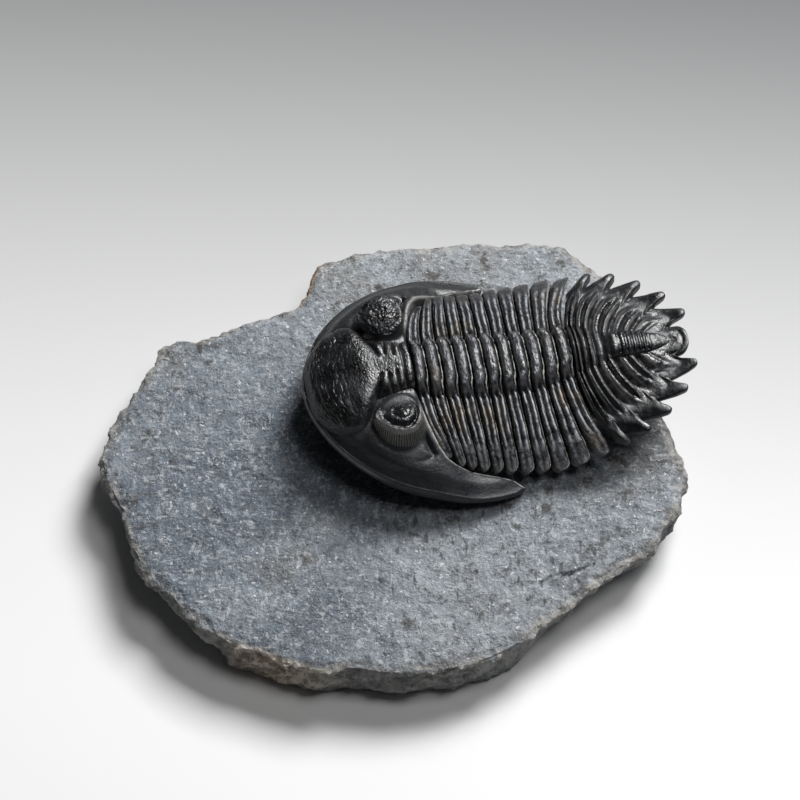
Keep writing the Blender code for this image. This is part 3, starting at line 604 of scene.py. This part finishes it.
def close_below(piece, lower, tuck=0.3):
    """Extrudes the open rim down with a rounded lower corner, and closes it underneath."""
    pick_open_rim(piece)
    centre = places(piece).mean(axis=0)
    high = None
    for share, pull in ((0.5, 0.0), (0.85, 0.35 * tuck), (1.0, tuck)):
        chosen = extrude_rim(piece)
        points = places(piece)
        if high is None:
            high = points[chosen]
        inward = centre - high
        inward[:, 2] = 0
        inward /= np.maximum(np.linalg.norm(inward, axis=1), 1e-9)[:, None]
        ring = high + inward * pull * MM
        ring[:, 2] = high[:, 2] + (lower(high) - high[:, 2]) * share
        points[chosen] = ring
        set_places(piece, points)
    fill_rim()


def tidy(piece):
    """Merges doubles and turns every face outwards."""
    pick(piece)
    bpy.ops.object.mode_set(mode="EDIT")
    bpy.ops.mesh.select_all(action="SELECT")
    bpy.ops.mesh.remove_doubles(threshold=MERGE_CLOSER_THAN)
    bpy.ops.mesh.normals_make_consistent(inside=False)
    bpy.ops.object.mode_set(mode="OBJECT")
    bpy.ops.object.shade_smooth_by_angle(angle=SMOOTH_BELOW)


def close_seam(piece):
    """Merges the doubles of a piece drawn once round, and fills what is left open."""
    tidy(piece)
    pick_open_rim(piece)
    fill_rim()
    tidy(piece)


def plan_corner():
    """Lowest x and y of the turned head from its front edge, which show where the CAD model stands."""
    c, n = math.cos(BODY_YAW), math.sin(BODY_YAW)
    rim = along(HEAD_OUTLINE, np.linspace(0, 1, 400))
    x = np.r_[rim[:, 0] * c + rim[:, 1] * n, rim[:, 0] * c - rim[:, 1] * n]
    y = np.r_[rim[:, 0] * n - rim[:, 1] * c, rim[:, 0] * n + rim[:, 1] * c]
    return x.min(), y.min()


head_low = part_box("cephalon")[0]
corner_x, corner_y = plan_corner()
BODY_FRONT = (head_low[0] / MM - corner_x, head_low[1] / MM - corner_y)
PLAN_SHIFT = (BODY_FRONT[0] - BODY_IN_PLAN[0], BODY_FRONT[1] - BODY_IN_PLAN[1])


def set_in_place(piece):
    """Turns a body piece to the fossil's heading and moves it over the slab, its place in its mesh."""
    pick(piece)
    piece.rotation_euler = Euler((0, 0, BODY_YAW))
    piece.location = Vector((*BODY_FRONT, SLAB_THICK)) * MM
    bpy.ops.object.transform_apply(location=True, rotation=True, scale=False)


def dress(piece, material, node):
    """Gives a finished piece its material and its place in the frame."""
    piece.data.materials.clear()
    piece.data.materials.append(material)
    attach(piece, "root")
    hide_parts(node)


# The fossil's pieces

def make_head():
    piece = patch("head_shield", *HEAD_GRID)
    u, v = places(piece)[:, :2].T
    s, t = head_plan(u, v).T
    t = np.maximum(t, 0)
    h, _, _ = head_surface(s, t)
    set_places(piece, np.stack([s, -t, h], axis=-1) * MM)
    both_halves(piece)
    close_below(piece, lambda p: (head_edge(p[:, 0] / MM) - HEAD_EDGE_THICK) * MM)
    tidy(piece)
    points = places(piece) / MM
    s, t = points[:, 0], -points[:, 1]
    _, dust, lobe_half = head_surface(np.clip(s, 0, HEAD_REAR[-1][0]), t)
    top = points[:, 2] > head_edge(s) + 0.2
    on_lobe = smooth(-0.4, 0.6, lobe_half - np.abs(t)) * smooth(13.4, 12.4, s) * top
    on_ridge = smooth(5.4, 4.6, np.abs(t)) * smooth(11.8, 12.8, s) * top
    granules = grains(points, 0.36, 5) * 0.055 * (on_lobe * smooth(5.0, 8.0, s) + on_ridge)
    fine = grains(points, 0.34, 9) * 0.02
    bent = points * (1.0, 0.3, 1.0) + 0.5 * np.stack([lumps(points, 2.2, 27), 0 * s, 0 * s], axis=-1)
    creases = creased(bent, 0.7, 21, 0.14) + 0.7 * creased(bent, 0.4, 23, 0.16)
    wrinkles = -0.1 * creases * on_lobe * smooth(9.0, 6.0, s + 0.1 * t)
    wrinkles = wrinkles + 0.12 * lumps(bent, 1.6, 25) * on_lobe
    uneven = 0.1 * lumps(points, 2.6, 31) + (0.02 + 0.05 * on_ridge) * lumps(points, 1.1, 33)
    move = (granules + fine + wrinkles + uneven) * top
    swell_out(piece, points, move * smooth(0.0, 0.6, points[:, 2] - head_edge(s)))
    paint(piece, "dust", dust * top)
    # Satin mask, near side only: it raises the roughness and lightens the colour as a painted sheen, leaving
    # the far cheek dark where it turns from the light
    paint(piece, "satin_and_sheen", (1 - np.clip(on_lobe + on_ridge, 0, 1)) * smooth(-4, 4, t))
    set_in_place(piece)
    dress(piece, fossil, "cephalon")


def make_eye(name, side):
    """One compound eye: a steep wall of lenses in files under a lid, which slopes down to the glabella
    on the inner side. The near lid has a raised outer rim, a furrow inside it and a rough boss, and the
    far one is a worn rough dome."""
    piece = patch(name, *EYE_GRID)
    u, v = places(piece)[:, :2].T

    # Most columns go to the outer side, where the lenses are
    turn = np.radians(np.where(u < 0.7, -30 + 240 * u / 0.7, 210 + 120 * (u - 0.7) / 0.3))
    facing = np.sin(turn)
    inner = smooth(0.15, -0.6, facing)
    radius = curve([(up, half) for up, half, _ in EYE_WALL], v)
    height = curve([(up, level) for up, _, level in EYE_WALL], v)
    on_lid = smooth(EYE_WALL_SHARE - 0.02, EYE_WALL_SHARE + 0.02, v)
    share = np.clip((1 - v) / (1 - EYE_WALL_SHARE), 0, 1)
    radius = np.where(v > EYE_WALL_SHARE, EYE_LID_HALF * share, radius + inner * (1 - v / EYE_WALL_SHARE))
    from_front = np.abs(turn - np.pi)
    radius = radius * (1 + 0.16 * bump(from_front, 0, 0.4) * smooth(0.1, 0.6, v) * smooth(0, 0.6, share))
    outer = smooth(-0.5, 0.3, facing)
    worn = 0 if side > 0 else 1
    lid = 0.34 * bump(share, 0.92, 0.08) * outer - (0.05 + 0.4 * outer) * bump(share, 0.74, 0.1)
    lid = lid + 0.75 * smooth(0.78, 0.15, share) - 0.15 * bump(share, 0.4, 0.06)
    lid = lid * (1 - worn) + 1.1 * (1 - share**2.2) * worn
    height = height + lid * on_lid

    # Lenses in files up the wall
    file_at = turn / (2 * np.pi) * EYE_FILES
    lens_at = (v - 0.12) / 0.42 * EYE_LENSES
    dx = file_at % 1.0 - 0.5
    dy = (lens_at + 0.5 * (np.floor(file_at) % 2)) % 1.0 - 0.5
    lens = np.clip(1 - (dx / 0.36) ** 2, 0, 1) * (0.7 + 0.3 * np.clip(1 - (dy / 0.5) ** 2, 0, 1))
    on_wall = smooth(0.1, 0.14, v) * smooth(0.56, 0.52, v) * smooth(-0.3, 0.05, facing)
    radius = radius + 0.14 * lens * on_wall

    # The whole eye, with its top tilted down outwards
    stretch = np.where(np.cos(turn) < 0, EYE_STRETCH[0], EYE_STRETCH[1])
    s = EYE_CENTRE[0] + radius * stretch * np.cos(turn)
    t = EYE_CENTRE[1] + radius * facing
    tilt = smooth(1.5, -3.7, t - EYE_CENTRE[1])
    h = EYE_FOOT + (height - EYE_FOOT) * (1 - (0.27 - 0.17 * worn) * tilt)
    set_places(piece, np.stack([s, -side * t, h], axis=-1) * MM)
    # Lens colour: the lenses' own olive grey, made lighter as painted bounce light on the lens wall
    paint(piece, "lens", on_wall * lens)
    paint(piece, "dust", 0.55 * bump(share, 0.97, 0.05) * outer * (1 - worn) * (v > 0.5))
    paint(piece, "lid", on_lid)
    close_seam(piece)
    points = places(piece) / MM
    move = 0.2 * lumps(points, 1.2, 41 + side) + 0.06 * grains(points, 0.42, 43)
    move = (move + 0.08 * lumps(points, 0.5, 45)) * (1 + 0.15 * worn)
    swell_out(piece, points, move * painted_on(piece, "lid"))
    set_in_place(piece)
    dress(piece, fossil, "cephalon")


def make_segment(number):
    name = f"segment_{number:02d}"
    piece = patch(name, *SEGMENT_GRID)
    u, v = places(piece)[:, :2].T
    reach = TIP_OUT[number - 1]
    w = 2 * u - 1
    t = (reach - 0.02) * np.sign(w) * (1 - (1 - np.abs(w)) ** 1.12)
    middle = ring_at(number, t)
    under = segment_under(number, t)
    across = np.clip((v / TOP_TO) * 2 - 1, -1, 1)
    h, dust, film_and_sheen, out = segment_surface(number, t, across)
    first = segment_surface(number, t, np.full_like(t, -1.0))[0]
    last = segment_surface(number, t, np.full_like(t, 1.0))[0]

    # Straight lines down the rear face, forward along the floor and up the front face
    for begin, end, a0, a1, h0, h1 in ((TOP_TO, REAR_TO, 1, 0.8, last, under),
                                       (REAR_TO, FLOOR_TO, 0.8, -0.8, under, under),
                                       (FLOOR_TO, 1, -0.8, -1, under, first)):
        k = (v - begin) / (end - begin)
        across = np.where(v > begin, a0 + (a1 - a0) * k, across)
        h = np.where(v > begin, h0 + (h1 - h0) * k, h)
    s = middle + segment_half(number, t, across) * across
    set_places(piece, np.stack([s, -t, h], axis=-1) * MM)

    top = (v <= TOP_TO).astype(float)
    paint(piece, "dust", dust * top)
    paint(piece, "top", top)
    # Grey film, partly real dust and partly painted sheen: a little stronger on the near side, weaker on the
    # far paddle ends
    far_end = smooth(-2, -4, t) * smooth(0.6, 0.85, out)
    paint(piece, "film_and_sheen", film_and_sheen * top * (0.9 + 0.25 * smooth(-2, 4, t)) * (1 - 0.8 * far_end))
    # Satin mask on the axial rings: higher roughness and a lighter colour as painted sheen
    paint(piece, "satin_and_sheen", smooth(6.2, 4.8, np.abs(t)) * 0.3)
    close_seam(piece)
    points = places(piece) / MM
    on_ring = smooth(6.2, 4.8, np.abs(points[:, 1]))
    move = (0.05 + 0.04 * on_ring) * lumps(points, 1.9, 50 + number)
    move += (0.03 + 0.03 * on_ring) * lumps(points, 0.55, 70 + number)
    move += (0.04 + 0.03 * on_ring) * grains(points, 0.38, 90)
    move -= 0.05 * on_ring * creased(points + 0.4 * lumps(points, 1.5, 93)[:, None], 0.75, 91, 0.15)
    swell_out(piece, points, move * painted_on(piece, "top"))
    set_in_place(piece)
    dress(piece, fossil, f"thorax_segment_{number:02d}")


def make_tail():
    outline = tail_outline(TAIL_STEPS)
    last = len(outline) - 1
    piece = patch("tail_shield", last, TAIL_ROWS)
    share, u = places(piece)[:, :2].T
    rim = outline[np.clip(np.round(share * last).astype(int), 0, last)]
    s, t = tail_plan(share, rim, u).T
    t = np.where(share > 0.9999, 0, np.maximum(t, 0))
    h, dust, smooth_field = tail_surface(s, share, u)
    set_places(piece, np.stack([s, -t, h], axis=-1) * MM)
    paint(piece, "dust", dust)
    # Satin mask on the tail's smooth field: higher roughness and a lighter colour as painted sheen
    paint(piece, "satin_and_sheen", smooth_field * 0.25)
    both_halves(piece)
    close_below(piece, lambda p: tail_edge(p[:, 0] / MM) * MM, tuck=0.2)
    tidy(piece)
    points = places(piece) / MM
    top = smooth(0.0, 0.8, points[:, 2] - tail_edge(points[:, 0]))
    move = 0.1 * lumps(points, 1.6, 101) + 0.04 * lumps(points, 0.6, 103) + 0.03 * grains(points, 0.42, 105)
    swell_out(piece, points, move * top)
    set_in_place(piece)
    dress(piece, fossil, "pygidium")


# The stone

def rim_radius(angle):
    """Distance of the slab's upper edge from its centre, with small broken scallops."""
    rim = np.array(SLAB_OUTLINE) - SLAB_CENTRE
    at = np.arctan2(rim[:, 1], rim[:, 0])
    far = np.linalg.norm(rim, axis=1)
    order = np.argsort(at)
    at, far = at[order], far[order]
    at = np.r_[at[-1] - 2 * np.pi, at, at[0] + 2 * np.pi]
    far = np.r_[far[-1], far, far[0]]
    radius = np.interp(angle, at, far)
    ring = np.stack([radius * np.cos(angle), radius * np.sin(angle), 0 * angle], axis=-1)
    return radius + 0.45 * broken(ring, 5.0, 201) + 0.2 * broken(ring, 1.4, 205) - 0.3


def body_lines(x, y):
    """Body lines of a point of the slab's plan."""
    c, n = math.cos(BODY_YAW), math.sin(BODY_YAW)
    x, y = x - BODY_IN_PLAN[0], y - BODY_IN_PLAN[1]
    return x * c + y * n, x * n - y * c


def worked_by_hand(x, y):
    """Where the tool that cleared the stone left its strokes."""
    return smooth(-12, -26, y) * smooth(-18, 4, x)


def slab_top(x, y, edge):
    """Height of the slab's upper face: low relief, strokes, pits, chipped rim and the rough pedestal."""
    flat = np.stack([x, y, 0 * x], axis=-1)
    h = -0.45 + 0.3 * lumps(flat, 17.0, 211) + 0.2 * lumps(flat, 6.0, 213)
    h = h + 0.2 * broken(flat, 3.2, 215) + 0.07 * lumps(flat, 0.9, 219)
    strokes = lumps(flat * np.array([1.0, 0.22, 1.0]), 0.62, 221)
    h = h - 0.12 * worked_by_hand(x, y) * smooth(0.25, 0.7, strokes)
    pits = grains(flat, 2.6, 223) * smooth(0.35, 0.7, lumps(flat, 7.0, 227))
    h = h - 0.25 * pits * smooth(6, -14, x) * smooth(-2, -16, y)
    ledge = smooth(0.0, 0.8, 6.0 + 3.0 * lumps(flat, 5.0, 231) - edge)
    ledge = ledge * bump(x, 28.0, 9.0) * smooth(-22, -28, y)
    h = h - 0.9 * ledge * (0.7 + 0.9 * broken(flat, 2.6, 233))
    chip = smooth(1.6, 0.0, edge + 0.9 * broken(flat, 2.2, 235))
    h = h - 0.85 * chip * (0.6 + 0.5 * broken(flat, 1.1, 237))
    s, t = body_lines(x, y)
    half = curve(PEDESTAL_HALF, s) * ((s > 4.0) & (s < 45.4))
    wall = half - np.abs(t) + 0.7 * broken(flat, 2.5, 241)
    wall = np.minimum(wall, np.minimum(s - 3.6, 45.8 - s))
    bed = curve(BENEATH, s) - BED_DEPTH + 0.12 * broken(flat, 1.5, 243) - 0.15
    rise = smooth(-0.9, 0.5, wall)
    return h + (bed - h) * rise


def make_slab():
    """The slab is a square grid drawn out to the broken outline, closed by rim, undercut and foot."""
    piece = patch("stone_slab", *SLAB_GRID)
    a, b = (places(piece)[:, :2] * 2 - 1).T
    x = a * np.sqrt(1 - b * b / 2)
    y = b * np.sqrt(1 - a * a / 2)
    angle = np.arctan2(y, x)
    share = np.hypot(x, y)
    radius = rim_radius(angle)
    x = SLAB_CENTRE[0] + radius * share * np.cos(angle)
    y = SLAB_CENTRE[1] + radius * share * np.sin(angle)
    set_places(piece, np.stack([x, y, SLAB_THICK + slab_top(x, y, radius * (1 - share))], axis=-1) * MM)

    ring = places(piece)[pick_open_rim(piece)] / MM
    out = ring[:, :2] - SLAB_CENTRE
    frontness = smooth(-40, -47, ring[:, 1])      # the front wall stays steep
    for depth, spread in SLAB_LEVELS:
        chosen = extrude_rim(piece)
        points = places(piece)
        front_spread = 1.0 + 0.012 * math.sin(math.pi * min(depth / 9.0, 1.0))
        front_spread = front_spread - 0.012 * smooth(8.5, SLAB_THICK, depth)
        grow = spread + (front_spread - spread) * frontness
        level = SLAB_THICK - SLAB_DIP - (SLAB_THICK - SLAB_DIP) * depth / SLAB_THICK
        fresh = np.stack([out[:, 0] * grow + SLAB_CENTRE[0], out[:, 1] * grow + SLAB_CENTRE[1],
                          np.full(len(out), level)], axis=-1)
        rough = broken(fresh * np.array([1, 1, 2.2]), 3.2, 251) * 0.9 + broken(fresh, 1.1, 255) * 0.5
        rough = rough * smooth(SLAB_THICK, SLAB_THICK - 0.6, depth)
        push = out / np.linalg.norm(out, axis=1)[:, None] * rough[:, None]
        fresh[:, :2] += push
        blend = smooth(0.0, 1.2, depth)
        fresh[:, 2] = (ring[:, 2] - depth) * (1 - blend) + fresh[:, 2] * blend
        fresh[:, 2] = np.maximum(fresh[:, 2], 0.0) if depth < SLAB_THICK else 0.0
        points[chosen] = fresh * MM
        set_places(piece, points)
    fill_rim()
    tidy(piece)

    plan = places(piece) / MM
    set_places(piece, (plan + (*PLAN_SHIFT, 0)) * MM)
    out = plan[:, :2] - SLAB_CENTRE
    edge = rim_radius(np.arctan2(out[:, 1], out[:, 0])) - np.hypot(out[:, 0], out[:, 1])
    paint(piece, "rim", smooth(1.6, 0.0, edge))
    notch = bump(plan[:, 0], -16.5, 3.0) * bump(plan[:, 1], 22.0, 4.5) * smooth(1.0, -0.3, edge)
    lip = bump(plan[:, 0], -20.0, 8.5) * smooth(-44.5, -47.5, plan[:, 1]) * smooth(0.9, -0.2, edge)
    paint(piece, "rust", notch)
    paint(piece, "worked", worked_by_hand(plan[:, 0], plan[:, 1]) * smooth(0.0, 1.5, edge))
    paint(piece, "pale", smooth(-5, 25, plan[:, 1]) * smooth(-30, -5, plan[:, 0])
          + 0.8 * smooth(-20, -38, plan[:, 1]) * smooth(-22, 8, plan[:, 0]))
    paint(piece, "beige", lip)
    paint(piece, "wall", smooth(0.4, -0.4, edge))
    dress(piece, stone, "matrix_slab")


# Materials

class Recipe:
    """A material's node tree, with short calls for the nodes that stone and fossil need."""

    def __init__(self, name):
        self.material = bpy.data.materials.new(name)
        self.material.use_nodes = True
        self.tree = self.material.node_tree
        self.shader = self.tree.nodes["Principled BSDF"]
        self.where = self.tree.nodes.new("ShaderNodeTexCoord").outputs["Object"]

    def join(self, source, target):
        if hasattr(source, "is_output"):
            self.tree.links.new(source, target)
        else:
            target.default_value = source

    def node(self, kind, inputs):
        """A new node, with each input set to a value or joined to another node's output."""
        node = self.tree.nodes.new(kind)
        for name, source in inputs.items():
            self.join(source, node.inputs[name])
        return node

    def noise(self, scale, detail=3.0, roughness=0.5, stretch=(1, 1, 1)):
        place = self.node("ShaderNodeMapping", {"Scale": stretch, "Vector": self.where}).outputs["Vector"]
        inputs = {"Scale": scale, "Detail": detail, "Roughness": roughness, "Vector": place}
        return self.node("ShaderNodeTexNoise", inputs).outputs["Fac"]

    def ramp(self, value, low, high, start=0.0, end=1.0):
        """Smooth step of a value from start, at low, to end, at high."""
        inputs = {"Value": value, "From Min": low, "From Max": high, "To Min": start, "To Max": end}
        node = self.node("ShaderNodeMapRange", inputs)
        node.interpolation_type = "SMOOTHSTEP"
        return node.outputs["Result"]

    def maths(self, kind, a, b):
        node = self.node("ShaderNodeMath", {0: a, 1: b})
        node.operation = kind
        return node.outputs["Value"]

    def times(self, a, b):
        return self.maths("MULTIPLY", a, b)

    def mix(self, share, a, b):
        node = self.tree.nodes.new("ShaderNodeMix")
        node.data_type = "RGBA"
        self.join(share, node.inputs["Factor"])
        self.join(a, node.inputs[6])
        self.join(b, node.inputs[7])
        return node.outputs[2]

    def painted(self, name):
        node = self.tree.nodes.new("ShaderNodeAttribute")
        node.attribute_name = name
        return node.outputs["Fac"]

    def bumps(self, layers):
        """Stacks bump layers, each (height, strength, depth in metres)."""
        normal = None
        for height, strength, depth in layers:
            inputs = {"Strength": strength, "Distance": depth, "Height": height}
            if normal is not None:
                inputs["Normal"] = normal
            normal = self.node("ShaderNodeBump", inputs).outputs["Normal"]
        self.join(normal, self.shader.inputs["Normal"])


def fossil_material():
    """Near-black mineralised shell: glossy on its ridges and satin where the satin mask lies, which also
    lightens the colour there as a painted bluish sheen, with a grey film on the ridges of the pleurae that is
    partly real dust and partly painted sheen, pale sediment along edges and olive lenses made lighter as
    painted bounce light."""
    m = Recipe("black_fossil")
    patchy = m.noise(260, 4, 0.6)
    fine = m.noise(2600, 4, 0.65)
    speck = m.noise(6000, 2, 0.5)
    colour = m.mix(m.ramp(patchy, 0.35, 0.65), (0.0022, 0.0024, 0.0028, 1), (0.0075, 0.0086, 0.011, 1))
    colour = m.mix(m.ramp(fine, 0.55, 0.75, 0, 0.5), colour, (0.022, 0.025, 0.03, 1))
    # Painted sheen: a lighter bluish colour where the satin mask lies
    colour = m.mix(m.times(m.painted("satin_and_sheen"), 0.5), colour, (0.01, 0.013, 0.018, 1))
    dust = m.times(m.painted("dust"), m.ramp(m.noise(900, 5, 0.7), 0.34, 0.52, 0.3, 1.0))
    # Grey film: partly real dust, partly painted sheen on the ridges of the pleurae and the ring crests
    film_and_sheen = m.times(m.painted("film_and_sheen"), m.ramp(m.noise(800, 5, 0.75), 0.4, 0.56, 0.15, 1.0))
    tan_share = m.ramp(m.noise(130, 4, 0.6), 0.53, 0.66)
    film_and_sheen_colour = m.mix(tan_share, (0.32, 0.335, 0.36, 1), (0.32, 0.265, 0.21, 1))
    colour = m.mix(film_and_sheen, colour, film_and_sheen_colour)
    colour = m.mix(m.times(dust, 0.9), colour, (0.46, 0.45, 0.43, 1))
    # Lenses: their own olive grey, made lighter as painted bounce light on the wall
    colour = m.mix(m.painted("lens"), colour, (0.16, 0.155, 0.13, 1))
    m.join(colour, m.shader.inputs["Base Color"])
    rough = m.maths("ADD", m.ramp(patchy, 0.3, 0.7, 0.24, 0.42), m.ramp(fine, 0.35, 0.7, -0.05, 0.12))
    rough = m.maths("ADD", rough, m.times(dust, 0.45))
    rough = m.maths("ADD", rough, m.times(m.painted("satin_and_sheen"), 0.17))
    m.join(rough, m.shader.inputs["Roughness"])
    m.shader.inputs["IOR"].default_value = 1.6
    m.bumps([(m.noise(1100, 4, 0.6), 0.4, 0.00022), (fine, 0.5, 0.0001), (speck, 0.3, 0.00004)])
    return m.material


def stone_material():
    """Matt blue-grey limestone: mottled, pale flecks and scratches, tan broken rims, a rusty notch face."""
    m = Recipe("grey_limestone")
    broad = m.noise(30, 4, 0.6)
    cloudy = m.noise(110, 6, 0.7)
    grainy = m.noise(520, 6, 0.75)
    fine = m.noise(2000, 4, 0.75)
    colour = m.mix(m.ramp(broad, 0.36, 0.64), (0.107, 0.131, 0.162, 1), (0.21, 0.237, 0.268, 1))
    colour = m.mix(m.times(m.painted("pale"), 0.5), colour, (0.335, 0.35, 0.366, 1))
    warm = m.ramp(m.noise(38, 5, 0.65), 0.49, 0.63, 0, 0.5)
    away = m.maths("SUBTRACT", 1.0, m.times(m.painted("worked"), 0.75))
    colour = m.mix(m.times(warm, away), colour, (0.165, 0.15, 0.126, 1))
    for mottle, low, high, most, tone in [(cloudy, 0.5, 0.66, 0.4, (0.295, 0.32, 0.345, 1)),
                                          (cloudy, 0.48, 0.34, 0.5, (0.075, 0.08, 0.088, 1)),
                                          (grainy, 0.52, 0.66, 0.5, (0.36, 0.39, 0.42, 1)),
                                          (grainy, 0.47, 0.35, 0.65, (0.055, 0.058, 0.062, 1)),
                                          (fine, 0.52, 0.64, 0.35, (0.43, 0.45, 0.47, 1)),
                                          (fine, 0.47, 0.37, 0.35, (0.05, 0.054, 0.06, 1))]:
        colour = m.mix(m.ramp(mottle, low, high, 0, most), colour, tone)
    flecks = m.ramp(m.noise(1300, 3, 0.6), 0.63, 0.69, 0, 0.8)
    colour = m.mix(flecks, colour, (0.62, 0.63, 0.64, 1))
    for stretch in ((1.0, 0.45, 1.0), (0.5, 1.0, 1.0)):
        streaks = m.ramp(m.noise(900, 4, 0.65, stretch), 0.57, 0.66, 0, 0.6)
        colour = m.mix(streaks, colour, (0.43, 0.45, 0.47, 1))
    strokes = m.ramp(m.noise(900, 2, 0.5, (1.0, 0.3, 1.0)), 0.64, 0.7)
    strokes = m.times(m.painted("worked"), strokes)
    colour = m.mix(m.times(strokes, 0.7), colour, (0.045, 0.048, 0.052, 1))
    blot = m.times(m.ramp(m.noise(300, 5, 0.7), 0.55, 0.64), m.ramp(m.noise(45, 3), 0.46, 0.58))
    colour = m.mix(m.times(blot, 0.75), colour, (0.05, 0.043, 0.038, 1))
    rim = m.times(m.painted("rim"), m.ramp(m.noise(380, 6, 0.75), 0.42, 0.6))
    colour = m.mix(m.times(rim, 0.65), colour, (0.4, 0.375, 0.335, 1))
    wall = m.mix(m.ramp(m.noise(260, 6, 0.75), 0.4, 0.6), (0.06, 0.06, 0.06, 1), (0.3, 0.29, 0.27, 1))
    colour = m.mix(m.times(m.painted("wall"), 0.6), colour, wall)
    sandy = m.mix(m.ramp(grainy, 0.42, 0.6), (0.2, 0.16, 0.12, 1), (0.6, 0.52, 0.42, 1))
    colour = m.mix(m.times(m.painted("beige"), 0.85), colour, sandy)
    rusty = m.mix(m.ramp(cloudy, 0.4, 0.6), (0.16, 0.075, 0.03, 1), (0.42, 0.27, 0.15, 1))
    colour = m.mix(m.painted("rust"), colour, rusty)
    m.join(colour, m.shader.inputs["Base Color"])
    m.join(m.ramp(cloudy, 0.3, 0.7, 0.75, 0.95), m.shader.inputs["Roughness"])
    m.shader.inputs["Specular IOR Level"].default_value = 0.35
    m.bumps([(cloudy, 0.8, 0.002), (m.noise(300, 4, 0.65), 0.8, 0.0011),
             (grainy, 0.9, 0.0007), (fine, 0.6, 0.0002)])
    return m.material


def floor_material():
    """Plain pale paper with painted shade: it darkens evenly towards the back and a little towards the right,
    standing in for the falloff of the studio light.
    """
    m = Recipe("pale_paper")
    split = m.node("ShaderNodeSeparateXYZ", {"Vector": m.where})
    back = m.maths("ADD", split.outputs["Y"], m.times(split.outputs["X"], FLOOR_SLANT))
    shade = m.ramp(back, FLOOR_WHITE_TO * MM, FLOOR_PAINTED_SHADE_FROM * MM)
    m.join(m.mix(shade, FLOOR_WHITE, FLOOR_PAINTED_SHADE), m.shader.inputs["Base Color"])
    m.shader.inputs["Roughness"].default_value = 0.95
    m.shader.inputs["Specular IOR Level"].default_value = 0.1
    return m.material


# Floor, camera and lights

def make_floor():
    bpy.ops.object.select_all(action="DESELECT")
    bpy.ops.mesh.primitive_plane_add(size=6, location=(0, 0, 0))
    floor = start("floor")
    floor.data.materials.append(floor_material())


def make_camera():
    target = Vector((*PLAN_SHIFT, VIEW_LEVEL)) * MM
    away = Vector((0, -math.cos(VIEW_HEIGHT), math.sin(VIEW_HEIGHT)))
    bpy.ops.object.camera_add(location=target + away * VIEW_DISTANCE * MM,
                              rotation=(math.pi / 2 - VIEW_HEIGHT, 0, 0))
    camera = bpy.context.object
    camera.data.sensor_width = VIEW_SENSOR
    camera.data.lens = VIEW_LENS
    camera.data.clip_start = 0.01
    bpy.context.scene.camera = camera


def add_light(name, place, size, power):
    """A square soft light that faces the fossil."""
    bpy.ops.object.light_add(type="AREA", location=place)
    light = bpy.context.object
    light.name = name
    light.data.size = size
    light.data.energy = power
    light.rotation_euler = (Vector(LIGHTS_FACE) - light.location).to_track_quat("-Z", "Y").to_euler()


def make_lights():
    for light in LIGHTS:
        add_light(*light)
    world = bpy.data.worlds.new("studio")
    bpy.context.scene.world = world
    world.use_nodes = True
    world.node_tree.nodes["Background"].inputs["Color"].default_value = (1, 1, 1, 1)
    world.node_tree.nodes["Background"].inputs["Strength"].default_value = ROOM_LIGHT
    bpy.context.scene.view_settings.view_transform = "Standard"


make_camera()
make_lights()
make_floor()
fossil = fossil_material()
stone = stone_material()
make_slab()
make_head()
make_eye("eye_near", 1)
make_eye("eye_far", -1)
for segment in range(1, len(TIP_OUT) + 1):
    make_segment(segment)
make_tail()
